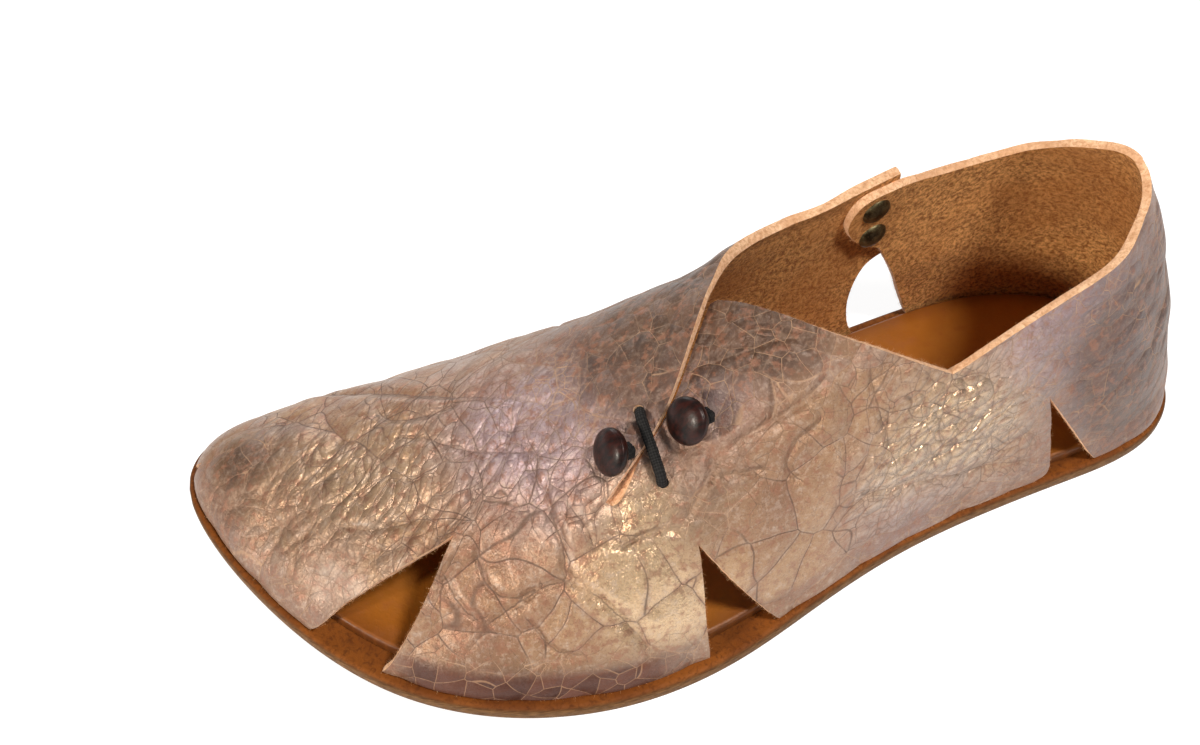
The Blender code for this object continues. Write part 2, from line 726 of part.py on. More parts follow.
def make_button(name, along, up, lean, lift, reach):
    """A domed wooden button leaning towards the toe on its elastic shank."""
    hole = Vector(last_surface(along, up)[0])
    normal = Vector(last_normal(along, up)[0])
    ahead = Vector(last_surface(along + PROBE, up)[0]) - hole
    toeward = (ahead - normal * ahead.dot(normal)).normalized()
    axis = math.cos(math.radians(lean)) * normal + math.sin(math.radians(lean)) * toeward
    centre = hole + normal * lift + toeward * reach
    bm = turned([(BUTTON_RADIUS * r, BUTTON_THICK * h) for r, h in BUTTON_PROFILE])
    stand_on(bm, centre, axis)
    new_object(name, bm, "dark_wood")
    foot = hole + normal * (SHANK_RADIUS + FIT_GAP)
    back = centre + axis * (BUTTON_THICK * BUTTON_PROFILE[0][1] - SHANK_GAP)
    middle = (foot + back) / 2 + normal * SHANK_BOW
    path = [foot - toeward * SHANK_FOOT, foot, middle, back - axis * SHANK_NECK, back]
    bm = tube(path, SHANK_RADIUS)
    new_object(name.replace("button", "shank"), bm, "black_elastic")


def make_cord_bar():
    """The elastic cord's bar, lying on the leather across the slit."""
    start = np.array(CORD_BAR[0])
    end = np.array(CORD_BAR[1])
    share = np.linspace(0.0, 1.0, CORD_POINTS)
    places = start + (end - start) * share[:, None]
    lift = CORD_RADIUS + FIT_GAP + CORD_BOW * np.sin(math.pi * share)
    points = last_surface(places[:, 0], places[:, 1])
    points = points + last_normal(places[:, 0], places[:, 1]) * lift[:, None]
    new_object("cord_bar", tube(points, CORD_RADIUS), "black_elastic")


def clear_scene():
    for item in list(bpy.data.objects):
        bpy.data.objects.remove(item, do_unlink=True)


def main():
    clear_scene()
    make_plate("outsole", SOLE_CURVE, OUTSOLE_EDGE, 0.0, OUTSOLE_THICK, "sole_leather")
    make_plate("insole", insole_curve(), INSOLE_EDGE, OUTSOLE_THICK + FIT_GAP, INSOLE_THICK, "tan_leather")
    make_upper()
    for row in RIVETS:
        make_rivet(*row)
    for row in BUTTONS:
        make_button(*row)
    make_cord_bar()


main()
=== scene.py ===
# %% [markdown]
# # A flat leather shoe for the left foot
# The shoe is cut from one piece of crackled, pearly leather. The piece starts as a strap on the inner side
# of the foot, wraps over the toes, runs back along the outer side and round the heel, and ends inside the
# strap, where two rivets hold both layers. Below it lie a smooth insole and a thin leather outsole.
# This lesson dresses the solid model piece by piece. All sizes are in millimetres in a working frame, where
# x runs from the back of the heel to the toe, y to the outer side of the foot and z up from the floor.

# %% Load the solid model
import math

import bpy
import numpy as np
from mathutils import Matrix, Vector, noise
from mathutils.geometry import delaunay_2d_cdt


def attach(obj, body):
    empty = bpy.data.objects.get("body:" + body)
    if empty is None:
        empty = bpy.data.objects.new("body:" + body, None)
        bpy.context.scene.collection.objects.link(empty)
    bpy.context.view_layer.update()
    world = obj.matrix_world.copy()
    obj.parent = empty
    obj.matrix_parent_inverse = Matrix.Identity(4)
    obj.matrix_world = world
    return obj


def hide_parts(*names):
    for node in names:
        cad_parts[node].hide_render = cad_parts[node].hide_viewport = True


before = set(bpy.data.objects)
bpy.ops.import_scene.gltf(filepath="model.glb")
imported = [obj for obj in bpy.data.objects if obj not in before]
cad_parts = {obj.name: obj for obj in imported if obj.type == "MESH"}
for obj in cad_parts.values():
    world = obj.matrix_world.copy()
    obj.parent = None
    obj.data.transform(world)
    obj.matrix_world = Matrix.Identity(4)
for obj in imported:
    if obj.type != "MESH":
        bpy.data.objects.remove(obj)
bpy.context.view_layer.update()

# %% [markdown]
# ## The camera
# A camera stands at the viewing angle of the picture. Its place is given by a point it looks at, a distance,
# two angles and a slight roll; the lens comes from the picture's width in pixels.

# %% Camera
MM = 0.001
SHIFT = np.array([129.04, 5.684, 0.0])
PICTURE_WIDTH = 1200
FOCAL_PIXELS = 1160.9
SENSOR_WIDTH = 36.0
NEAREST_SEEN = 0.01
LOOK_AT = np.array([153.54, -23.25, 20.0])
LOOK_DISTANCE = 300.0
LOOK_AZIMUTH = math.radians(73.467)
LOOK_ELEVATION = math.radians(48.563)
LOOK_ROLL = math.radians(-0.617)


def put(name, data):
    """A new object in the scene."""
    made = bpy.data.objects.new(name, data)
    bpy.context.scene.collection.objects.link(made)
    return made


def to_part(points):
    """Working millimetres to the part's metres, centred over its floor print."""
    return (np.atleast_2d(points) - SHIFT) * MM


camera_data = bpy.data.cameras.new("camera")
camera = put("camera", camera_data)
bpy.context.scene.camera = camera
camera_data.sensor_width = SENSOR_WIDTH
camera_data.lens = SENSOR_WIDTH * FOCAL_PIXELS / PICTURE_WIDTH
camera_data.clip_start = NEAREST_SEEN
level = math.cos(LOOK_ELEVATION)
back = Vector((level * math.cos(LOOK_AZIMUTH), level * math.sin(LOOK_AZIMUTH), math.sin(LOOK_ELEVATION)))
right = (-back).cross(Vector((0.0, 0.0, 1.0))).normalized()
above = right.cross(-back)
turned_right = right * math.cos(LOOK_ROLL) + above * math.sin(LOOK_ROLL)
turned_above = above * math.cos(LOOK_ROLL) - right * math.sin(LOOK_ROLL)
stand = Vector(to_part(LOOK_AT)[0]) + back * LOOK_DISTANCE * MM
turn = Matrix((turned_right, turned_above, back)).transposed().to_4x4()
camera.matrix_world = Matrix.Translation(stand) @ turn
print("camera stands at", [round(v, 4) for v in stand])

# %% [markdown]
# ## The last
# A shoemaker pulls leather over a last, a foot-shaped block. Here the last is a rule: from each place on the
# sole's edge a rounded rib rises to the crown over the middle of the foot. Short tables give the sole's
# outline, the crown and how round each side is, and smooth curves join their rows. A point of leather is
# then named by two lengths: how far along the sole's edge, and how far up the leather.

# %% Tables of the last
SOLE_LENGTH = 258.0
OUTSOLE_THICK = 4.0
INSOLE_THICK = 3.0
TOE_SPRING = 15.3
SPRING_START = 170.0
FIT_GAP = 0.3
WALL = 2.0
LEVEL_UP_TO = 9.0

# Outsole outline: distance from the heel, lateral edge, medial edge
OUTLINE = (
    (4.0, 15.0, -15.3),
    (12.0, 23.6, -25.0),
    (25.0, 29.3, -32.0),
    (45.0, 32.2, -35.6),
    (70.0, 34.9, -33.5),
    (95.0, 39.2, -30.4),
    (120.0, 46.6, -30.7),
    (145.0, 54.7, -36.7),
    (165.0, 57.6, -42.5),
    (185.0, 56.2, -45.8),
    (203.0, 51.4, -46.2),
    (220.0, 42.6, -44.7),
    (235.0, 28.8, -41.1),
    (247.0, 11.8, -36.1),
    (255.0, -4.5, -29.0),
)
HEEL_BACK = (0.0, 0.0)
TOE_TIP = (SOLE_LENGTH, -20.0)
OUTLINE_POINTS = 2400

# Bare ledge of the outsole: distance from the heel, width
LEDGE = ((0.0, 2.0), (60.0, 2.0), (110.0, 2.5), (150.0, 4.0), (200.0, 4.5), (240.0, 4.0), (258.0, 3.0))

# Crown: sole edge x, then the crown's x, y and height
CROWN = (
    (0.0, 47.0, 0.0, 100.0),
    (30.0, 61.0, 0.0, 99.0),
    (60.0, 80.0, 0.0, 97.0),
    (90.0, 98.0, 0.0, 88.0),
    (120.0, 122.0, 0.0, 71.0),
    (144.0, 144.0, 0.0, 61.6),
    (165.0, 165.0, -1.0, 52.5),
    (185.0, 184.0, -2.0, 45.0),
    (207.0, 205.0, -4.0, 38.5),
    (229.0, 222.0, -8.0, 34.0),
    (247.0, 234.0, -13.0, 31.5),
    (258.0, 241.0, -17.0, 30.0),
)

# Roundness, 1 for a straight slope and 2 for an ellipse: sole edge x, lateral side, medial side
ROUNDNESS = (
    (0.0, 1.28, 1.28),
    (20.0, 1.4, 1.5),
    (40.0, 1.75, 2.0),
    (60.0, 1.95, 2.5),
    (80.0, 2.0, 2.7),
    (105.0, 2.0, 2.4),
    (130.0, 2.0, 2.0),
    (155.0, 2.0, 1.88),
    (225.0, 2.0, 1.88),
    (258.0, 1.95, 1.95),
)
RIB_STEPS = 60
PROBE = 0.5

# Where the counter's end tucks in behind the strap
TUCK_STARTS = -40.0
TUCK_ENDS = -78.0
TUCK_LOW = 8.0
TUCK_HIGH = 26.0
UNROLL_RUN = 40.0
print("sole outline:", len(OUTLINE), "rows, crown:", len(CROWN), "rows")

# %% Smooth curves through tables


def column(table, index, x):
    """Read a column of a table at x, joined by smooth curves."""
    rows = np.array(table)
    knots = rows[:, 0]
    values = rows[:, index]
    slopes = np.gradient(values, knots)
    x = np.clip(x, knots[0], knots[-1])
    at = np.clip(np.searchsorted(knots, x) - 1, 0, len(knots) - 2)
    width = knots[at + 1] - knots[at]
    s = (x - knots[at]) / width
    rise = 3 * s**2 - 2 * s**3
    start = s - 2 * s**2 + s**3
    end = s**3 - s**2
    flat_part = values[at] * (1 - rise) + values[at + 1] * rise
    return flat_part + width * (slopes[at] * start + slopes[at + 1] * end)


def smoothstep(low, high, value):
    """A soft step from 0 at low to 1 at high."""
    s = np.clip((value - low) / (high - low), 0.0, 1.0)
    return s * s * (3 - 2 * s)


def closed_spline(points, count):
    """A smooth closed curve through the points, read at count places."""
    points = np.array(points)
    total = len(points)
    chord = np.linalg.norm(np.roll(points, -1, axis=0) - points, axis=1)
    matrix = np.zeros((total, total))
    bends = np.zeros((total, 2))
    for i in range(total):
        before = chord[i - 1]
        after = chord[i]
        following = (i + 1) % total
        matrix[i, i - 1] = before
        matrix[i, i] = 2 * (before + after)
        matrix[i, following] = after
        bends[i] = 6 * ((points[following] - points[i]) / after - (points[i] - points[i - 1]) / before)
    bend = np.linalg.solve(matrix, bends)
    ends = np.concatenate([[0.0], np.cumsum(chord)])
    places = np.linspace(0.0, ends[-1], count, endpoint=False)
    span = np.clip(np.searchsorted(ends, places, side="right") - 1, 0, total - 1)
    following = (span + 1) % total
    width = chord[span][:, None]
    b = (places - ends[span])[:, None] / width
    a = 1 - b
    curve = a * points[span] + b * points[following]
    return curve + width**2 / 6 * ((a**3 - a) * bend[span] + (b**3 - b) * bend[following])


def outline_inset(curve, inset):
    """The closed curve moved inwards. It runs clockwise seen from above."""
    along = np.roll(curve, -1, axis=0) - np.roll(curve, 1, axis=0)
    along /= np.linalg.norm(along, axis=1)[:, None]
    inward = np.column_stack([along[:, 1], -along[:, 0]])
    return curve + inward * np.reshape(inset, (-1, 1))


def spring(x):
    """Height of the sole's underside over the floor."""
    return TOE_SPRING * np.clip((x - SPRING_START) / (SOLE_LENGTH - SPRING_START), 0, None) ** 2


lateral_edge = [row[:2] for row in OUTLINE]
medial_edge = [(row[0], row[2]) for row in reversed(OUTLINE)]
SOLE_CURVE = closed_spline([HEEL_BACK] + lateral_edge + [TOE_TIP] + medial_edge, OUTLINE_POINTS)
FEATHER = outline_inset(SOLE_CURVE, column(LEDGE, 1, SOLE_CURVE[:, 0]))
FEATHER_CLOSED = np.vstack([FEATHER, FEATHER[:1]])
FEATHER_RUN = np.concatenate([[0.0], np.cumsum(np.linalg.norm(np.diff(FEATHER_CLOSED, axis=0), axis=1))])
GIRTH = FEATHER_RUN[-1]
TOE_INDEX = int(np.argmax(FEATHER[:, 0]))
TOE_RUN = FEATHER_RUN[TOE_INDEX]
print("sole", SOLE_LENGTH, "mm long, edge of the upper", round(GIRTH, 1), "mm round")

# %% Ribs of the last


def sole_edge(along):
    """Place on the line where the upper meets the outsole."""
    along = np.mod(along, GIRTH)
    x = np.interp(along, FEATHER_RUN, FEATHER_CLOSED[:, 0])
    y = np.interp(along, FEATHER_RUN, FEATHER_CLOSED[:, 1])
    return np.column_stack([x, y])


def facing(along):
    """Place on the other side of the shoe at the same distance from the heel."""
    along = np.mod(along, GIRTH)
    x = sole_edge(along)[:, 0]
    lateral_run = np.interp(x, FEATHER[: TOE_INDEX + 1, 0], FEATHER_RUN[: TOE_INDEX + 1])
    medial_x = FEATHER_CLOSED[TOE_INDEX:, 0][::-1]
    medial_run = np.interp(x, medial_x, FEATHER_RUN[TOE_INDEX:][::-1])
    return np.where(along < TOE_RUN, medial_run, lateral_run)


def ribs(along):
    """Rounded arcs from the sole edge up to the crown, with their lengths."""
    base = sole_edge(along)
    x = base[:, 0]
    floor_height = spring(x) + OUTSOLE_THICK + FIT_GAP
    start = np.column_stack([base, floor_height])[:, None, :]
    top = np.column_stack([column(CROWN, k, x) for k in (1, 2, 3)])[:, None, :]
    on_lateral = np.mod(along, GIRTH) < TOE_RUN
    roundness = np.where(on_lateral, column(ROUNDNESS, 1, x), column(ROUNDNESS, 2, x))
    angle = np.linspace(0.0, math.pi / 2, RIB_STEPS + 1)[None, :]
    power = 2 / roundness[:, None]
    over = 1 - np.cos(angle) ** power
    rise = np.sin(angle) ** power
    share = np.stack([over, over, rise], axis=2)
    curves = start + (top - start) * share
    steps = np.linalg.norm(np.diff(curves, axis=1), axis=2)
    lengths = np.concatenate([np.zeros((len(x), 1)), np.cumsum(steps, axis=1)], axis=1)
    return curves, lengths


def over_crown(along, up):
    """Turn a length beyond the crown into one on the facing side."""
    full = ribs(along)[1][:, -1]
    other = facing(along)
    other_full = ribs(other)[1][:, -1]
    beyond = up > full
    return np.where(beyond, other, along), np.where(beyond, full + other_full - up, up)


print("rib at the toe:", round(float(ribs(np.array([TOE_RUN]))[1][0, -1]), 1), "mm long")

# %% Skin of the last


def last_surface(along, up):
    """Points of the last's skin at lengths along the sole edge and up the leather."""
    along = np.atleast_1d(np.asarray(along, dtype=float))
    up = np.atleast_1d(np.asarray(up, dtype=float))
    along, up = over_crown(along, up)
    curves, lengths = ribs(along)
    rows = np.arange(len(along))
    at = np.clip((lengths < up[:, None]).sum(axis=1), 1, RIB_STEPS)
    low = lengths[rows, at - 1]
    span = np.maximum(lengths[rows, at] - low, 1e-9)
    share = ((up - low) / span)[:, None]
    return curves[rows, at - 1] * (1 - share) + curves[rows, at] * share


def last_normal(along, up):
    """Outward direction of the last's skin."""
    along = np.atleast_1d(np.asarray(along, dtype=float))
    up = np.maximum(np.atleast_1d(np.asarray(up, dtype=float)), PROBE)
    across = last_surface(along + PROBE, up) - last_surface(along - PROBE, up)
    rise = last_surface(along, up + PROBE) - last_surface(along, up - PROBE)
    normal = np.cross(rise, across)
    return normal / np.linalg.norm(normal, axis=1)[:, None]


def wall_direction(along, up):
    """Outward direction through the wall, turned level where the leather meets the sole."""
    normal = last_normal(along, up)
    normal[:, 2] *= smoothstep(0.0, LEVEL_UP_TO, np.asarray(up, dtype=float))
    return normal / np.linalg.norm(normal, axis=1)[:, None]


def leather_surface(along, up):
    """Outer face of the leather, tucked in where the counter lies inside the strap."""
    along = np.atleast_1d(np.asarray(along, dtype=float))
    up = np.atleast_1d(np.asarray(up, dtype=float))
    tuck = smoothstep(-TUCK_STARTS, -TUCK_ENDS, -along) * smoothstep(TUCK_LOW, TUCK_HIGH, up)
    return last_surface(along, up) - last_normal(along, up) * ((WALL + FIT_GAP) * tuck)[:, None]


def flat_chart(along, up):
    """The pattern laid flat, with the counter's end unrolled straight on from the heel."""
    along, up = over_crown(np.asarray(along, dtype=float), np.asarray(up, dtype=float))
    curves, lengths = ribs(np.maximum(along, 0.0))
    base = curves[:, 0, :2]
    flat = base + (curves[:, -1, :2] - base) * (up / lengths[:, -1])[:, None]
    unrolled = smoothstep(0.0, UNROLL_RUN, -along)
    flat[:, 0] += (base[:, 0] + up - flat[:, 0]) * unrolled
    flat[:, 1] += np.minimum(along, 0.0)
    return flat


print("toe at", np.round(last_surface(TOE_RUN, 0.0)[0], 1), "mm")

# %% [markdown]
# ## The cut piece
# The maker's knife follows one outline: round the triangles of the lower edge, along the strap, down the
# slit and back up, along the throat and the collar. Each run below is a short table of lengths along and up.
# Punched holes for the rivets, the cord and the button shanks belong to the cut as well.

# %% Outline of the cut piece
EDGE_STEP = 1.2
CORNER_STEP = 0.8
FINE_STEP = 1.05
CLEARANCE = 0.62

CUTOUT_HEEL = ((50.7, 0.0), (71.3, 31.3), (65.8, 5.0))
FLAP_CORNER = ((65.8, 5.0), (66.4, 1.6), (69.5, 0.0))
CUTOUT_BALL = ((148.6, 0.0), (168.0, 32.7), (167.9, 0.0))
CUTOUT_TOE = ((241.2, 0.0), (218.9, 38.4), (228.6, 31.2), (238.9, 22.6), (249.6, 12.6), (260.0, 0.0))
INSTEP_FRONT = ((405.0, 0.0), (404.5, 20.0), (408.0, 43.5))
INSTEP_BACK = ((408.0, 43.5), (431.0, 0.0))
TOE_DART = ((307.0, 0.0), (309.5, 6.0), (312.0, 0.0))
ARCH_EDGE = ((496.0, 0.0), (492.5, 9.0), (491.5, 18.0), (495.0, 29.0), (504.0, 33.0))
STRAP_END = ((504.0, 33.0), (498.0, 63.5))
STRAP_TOP = (
    (498.0, 63.5),
    (480.0, 60.5),
    (466.0, 59.5),
    (455.0, 62.5),
    (446.0, 67.5),
    (439.0, 73.0),
    (430.5, 81.2),
    (421.1, 90.2),
    (410.1, 96.1),
    (403.5, 99.3),
)
THROAT_EDGE = ((149.6, 84.5), (139.9, 76.2), (128.9, 67.7), (116.6, 60.0), (100.4, 49.4))
COLLAR_EDGE = (
    (100.4, 49.4),
    (73.8, 58.7),
    (48.9, 64.7),
    (27.0, 71.0),
    (12.0, 76.3),
    (-2.0, 78.8),
    (-20.0, 77.8),
    (-33.0, 74.6),
    (-46.5, 68.2),
    (-59.0, 63.3),
    (-76.0, 60.5),
    (-94.0, 60.5),
    (-103.0, 58.0),
    (-106.0, 51.0),
    (-102.0, 43.0),
    (-93.5, 37.0),
)
COUNTER_EDGE = ((-93.5, 37.0), (-88.5, 28.0), (-79.0, 9.0), (-75.0, 0.0))
COUNTER_REACH = min(row[0] for row in COLLAR_EDGE)
COLLAR_TOP = max(row[1] for row in COLLAR_EDGE)

# Gap of the slit: length along, gap. It stands open at its toe end.
SLIT_GAPS = ((149.6, 0.4), (160.0, 0.7), (170.0, 0.7), (176.5, 1.1), (180.0, 2.6), (182.5, 3.0), (185.5, 0.8))

# Rivets and holes: lengths along and up
RIVETS = ((491.5, 53.5), (492.5, 43.5))
CORD_HOLES = ((173.4, 63.9), (172.7, 47.7))
SHANK_HOLES = ((177.5, 55.6), (160.0, 58.9))
SHANK_HOLE_RADIUS = 1.0
RIVET_HOLE_RADIUS = 1.8
CORD_HOLE_RADIUS = 1.25
HOLE_SIDES = 14
print("collar", COLLAR_TOP, "mm up the leather; its end reaches", -COUNTER_REACH, "mm past the heel")

# %% Knife path and holes


def open_spline(points, step):
    """Points about step apart on a smooth curve through the given ones."""
    points = np.array(points)
    chord = np.linalg.norm(np.diff(points, axis=0), axis=1)
    knots = np.concatenate([[0.0], np.cumsum(chord)])
    count = max(int(round(knots[-1] / step)), len(points) - 1)
    places = np.linspace(0.0, knots[-1], count + 1)
    rows = np.column_stack([knots, points])
    return np.column_stack([column(rows, 1, places), column(rows, 2, places)])


def straight(points, step):
    """Points about step apart on straight lines between the given ones."""
    run = [np.array(points[0])]
    for start, end in zip(points, points[1:]):
        start = np.array(start)
        end = np.array(end)
        count = max(int(round(np.linalg.norm(end - start) / step)), 1)
        run += [start + (end - start) * k / count for k in range(1, count + 1)]
    return np.array(run)


def strap_lip():
    """The strap's lip beside the slit, counted from the lateral side, from the toe end to the throat."""
    strap = open_spline(STRAP_TOP, EDGE_STEP)[::-1]
    lip = np.column_stack(over_crown(strap[:, 0], strap[:, 1]))
    return lip[lip[:, 0] < TOE_RUN]


def cut_edge():
    """The knife's path once round, as lengths along and up."""
    slit = strap_lip()[1:]
    slit[:, 1] -= column(SLIT_GAPS, 1, slit[:, 0])
    slit = np.vstack([slit, [THROAT_EDGE[0]]])
    runs = [
        open_spline(COUNTER_EDGE, EDGE_STEP),
        straight((COUNTER_EDGE[-1], CUTOUT_HEEL[0]), EDGE_STEP),
        straight(CUTOUT_HEEL, EDGE_STEP),
        open_spline(FLAP_CORNER, CORNER_STEP),
        straight((FLAP_CORNER[-1], CUTOUT_BALL[0]), EDGE_STEP),
        straight(CUTOUT_BALL, EDGE_STEP),
        straight((CUTOUT_BALL[-1], CUTOUT_TOE[0]), EDGE_STEP),
        straight(CUTOUT_TOE, EDGE_STEP),
        straight((CUTOUT_TOE[-1], TOE_DART[0]), EDGE_STEP),
        straight(TOE_DART, EDGE_STEP),
        straight((TOE_DART[-1], INSTEP_FRONT[0]), EDGE_STEP),
        open_spline(INSTEP_FRONT, EDGE_STEP),
        straight(INSTEP_BACK, EDGE_STEP),
        straight((INSTEP_BACK[-1], ARCH_EDGE[0]), EDGE_STEP),
        open_spline(ARCH_EDGE, EDGE_STEP),
        straight(STRAP_END, EDGE_STEP),
        open_spline(STRAP_TOP, EDGE_STEP),
        np.vstack([[STRAP_TOP[-1]], slit]),
        open_spline(THROAT_EDGE, EDGE_STEP),
        open_spline(COLLAR_EDGE, EDGE_STEP),
    ]
    return np.vstack([run[:-1] for run in runs])


def punched_hole(along, up, radius):
    """Edge of a round hole, made round on the leather."""
    ends = last_surface([along - PROBE, along + PROBE], [up, up])
    stretch = 2 * PROBE / np.linalg.norm(ends[1] - ends[0])
    turns = np.linspace(0.0, 2 * math.pi, HOLE_SIDES, endpoint=False)
    return np.column_stack([along + radius * stretch * np.cos(turns), up + radius * np.sin(turns)])


knife_path = cut_edge()
holes = []
for along, up in RIVETS:
    ring = punched_hole(along, up, RIVET_HOLE_RADIUS)
    holes += [ring, ring - np.array([GIRTH, 0.0])]
for rows, radius in ((CORD_HOLES, CORD_HOLE_RADIUS), (SHANK_HOLES, SHANK_HOLE_RADIUS)):
    holes += [punched_hole(along, up, radius) for along, up in rows]
print("knife path", len(knife_path), "points,", len(holes), "holes")

# %% [markdown]
# ## From flat cut to bent sheet
# Points are spread over the cut piece, joined into triangles while it lies flat, and only then bent over the
# last. Doing it in this order lets two layers lie over each other without their triangles getting mixed up.

# %% Triangles of the cut piece


def inside(polygon, points):
    """Which points lie inside a closed polygon."""
    found = np.zeros(len(points), dtype=bool)
    for start, end in zip(polygon, np.roll(polygon, -1, axis=0)):
        spans = (start[1] > points[:, 1]) != (end[1] > points[:, 1])
        slope = (end[0] - start[0]) / (end[1] - start[1] + 1e-12)
        found ^= spans & (points[:, 0] < start[0] + slope * (points[:, 1] - start[1]))
    return found


def spread_points():
    """Lengths along and up, in even rows over the whole last."""
    count = int(GIRTH / FINE_STEP)
    rows = []
    for k in range(count):
        for start in (GIRTH * k / count, GIRTH * k / count - GIRTH):
            if start < COUNTER_REACH or start > STRAP_END[0][0]:
                continue
            full = ribs(np.array([start]))[1][0, -1]
            if start < 0:
                full = COLLAR_TOP
            steps = int(round(full / FINE_STEP))
            rows += [(start, full * (j + 0.5 * (k % 2)) / steps) for j in range(1, steps)]
    rows = np.array(rows)
    clear_of_arch = (rows[:, 0] < ARCH_EDGE[0][0]) | (rows[:, 1] > ARCH_EDGE[2][1])
    return rows[clear_of_arch]


def thin_out(points, fixed, spacing):
    """Numbers of the points that keep their distance from fixed ones and from each other."""
    taken = {}
    kept = []
    cells = np.floor(points / spacing).astype(int)
    for place in fixed:
        taken.setdefault(tuple(np.floor(place / spacing).astype(int)), []).append(place)
    offsets = [(a, b, c) for a in (-1, 0, 1) for b in (-1, 0, 1) for c in (-1, 0, 1)]
    for i, (x, y, z) in enumerate(cells):
        near = [q for a, b, c in offsets for q in taken.get((x + a, y + b, z + c), ())]
        if all(np.dot(points[i] - q, points[i] - q) > spacing**2 for q in near):
            taken.setdefault((x, y, z), []).append(points[i])
            kept.append(i)
    return kept


def triangles():
    """All places of the cut piece with its triangles."""
    loops_at = [knife_path] + holes
    flat_edge = flat_chart(knife_path[:, 0], knife_path[:, 1])
    spread = spread_points()
    spread = spread[inside(flat_edge, flat_chart(spread[:, 0], spread[:, 1]))]
    for ring in holes:
        spread = spread[~inside(ring, spread)]
    fixed = np.vstack([leather_surface(loop[:, 0], loop[:, 1]) for loop in loops_at])
    spread = spread[thin_out(leather_surface(spread[:, 0], spread[:, 1]), fixed, FINE_STEP * CLEARANCE)]
    places = np.vstack(loops_at + [spread])
    flat = flat_chart(places[:, 0], places[:, 1])
    loops = []
    start = 0
    for loop in loops_at:
        loops.append(list(range(start, start + len(loop))))
        start += len(loop)
    lines = [(loop[i - 1], loop[i]) for loop in loops for i in range(len(loop))]
    result = delaunay_2d_cdt([Vector(p) for p in flat], lines, [], 0, 1e-9, True)
    corners = np.array([tuple(p) for p in result[0]])
    source = np.array([origin[0] for origin in result[3]])
    faces = np.array(result[2])
    centres = corners[faces].mean(axis=1)
    keep = inside(flat[loops[0]], centres)
    for loop in loops[1:]:
        keep &= ~inside(flat[loop], centres)
    return places, source[faces[keep]]


leather_places, leather_faces = triangles()
print("cut piece:", len(leather_places), "points,", len(leather_faces), "triangles")

# %% [markdown]
# ## Creases and lips
# Wear folds the leather in the same places again and again. Those folds are laid as soft troughs and ridges
# along short lines on the leather. At the slit the strap's lip stands proud and the other lip dips under it,
# so the raw cut edge shows.

# %% Creases
# Each crease: depth in mm (less than zero for a ridge), half width in mm, then its points along and up
CREASES = (
    (0.55, 1.2, ((251.3, 28.7), (242.0, 32.4), (232.0, 37.3), (225.4, 41.4))),
    (0.45, 1.6, ((359.0, 39.0), (360.0, 44.5), (367.2, 51.4), (374.8, 54.9), (381.4, 56.6))),
    (0.50, 1.5, ((231.0, 59.9), (221.4, 62.1), (212.1, 59.6), (204.1, 58.9), (194.1, 58.9))),
    (-0.45, 1.3, ((218.8, 63.0), (222.2, 51.5), (221.0, 45.9))),
    (0.50, 1.5, ((205.9, 67.5), (209.6, 57.1), (212.3, 51.5), (214.0, 43.4))),
    (0.55, 1.4, ((197.0, 62.2), (198.7, 56.9), (197.5, 48.5), (196.4, 40.9))),
    (0.50, 1.3, ((214.6, 35.8), (214.3, 28.5), (210.6, 25.8), (203.1, 28.4))),
    (-0.40, 1.1, ((206.6, 39.8), (207.2, 33.5), (205.8, 30.1))),
    (0.50, 1.3, ((223.2, 29.7), (221.7, 24.1), (219.4, 20.9), (216.1, 19.2))),
    (0.40, 1.3, ((266.3, 30.2), (264.2, 26.9), (259.8, 25.1), (266.7, 15.5))),
    (0.70, 1.5, ((198.9, 57.9), (197.4, 43.6), (196.1, 36.6), (196.9, 31.2), (193.1, 27.8))),
    (0.95, 1.6, ((193.1, 27.8), (188.4, 21.9), (184.3, 14.9), (181.9, 10.1))),
    (0.65, 1.7, ((192.9, 28.9), (197.6, 29.7), (203.9, 27.3), (210.3, 23.2), (216.5, 18.4))),
    (0.60, 1.3, ((186.8, 35.3), (180.6, 37.4), (175.6, 37.7), (169.5, 35.9))),
    (0.60, 1.3, ((207.6, 22.5), (205.1, 17.2), (201.5, 13.0), (195.2, 12.0))),
    (-0.55, 1.2, ((180.7, 29.1), (182.1, 23.5), (181.5, 19.8), (178.9, 16.5))),
    (0.50, 1.3, ((192.8, 46.4), (191.0, 42.3), (189.5, 36.1))),
    (0.50, 1.2, ((161.0, 51.6), (162.5, 47.4), (165.2, 43.8), (169.4, 38.3))),
    (0.75, 1.5, ((159.4, 50.0), (153.4, 52.3), (147.7, 53.2), (139.4, 54.6), (134.2, 57.0), (129.5, 59.5))),
    (0.40, 1.2, ((161.1, 46.2), (155.1, 44.7), (148.3, 43.8))),
    (0.55, 1.7, ((374.5, 51.7), (381.7, 58.3), (196.9, 72.5), (188.8, 70.0), (182.5, 70.8))),
    (0.75, 1.7, ((158.3, 70.4), (150.0, 69.7), (141.8, 69.8), (133.6, 68.1))),
    (0.65, 1.5, ((150.1, 73.8), (143.2, 73.1), (136.7, 68.6), (132.4, 64.2))),
    (0.40, 1.2, ((144.2, 62.3), (144.9, 57.3), (146.6, 53.5))),
    (0.55, 1.3, ((136.0, 53.1), (134.7, 50.4), (142.2, 46.6), (144.6, 42.9), (139.8, 36.0))),
    (-0.45, 1.1, ((133.8, 43.5), (130.4, 33.6))),
    (0.50, 1.3, ((121.3, 60.3), (121.5, 57.3), (119.6, 45.0), (117.8, 38.2), (116.7, 32.8))),
    (0.40, 2.2, ((128.9, 26.5), (114.6, 22.2), (93.8, 16.0), (69.2, 10.2))),
    (0.45, 1.6, ((65.9, 52.5), (59.5, 54.3), (39.6, 57.1))),
)
SHOULDER_AT = 1.9
SHOULDER_SHARE = 0.22
TROUGH_SHARE = 0.8
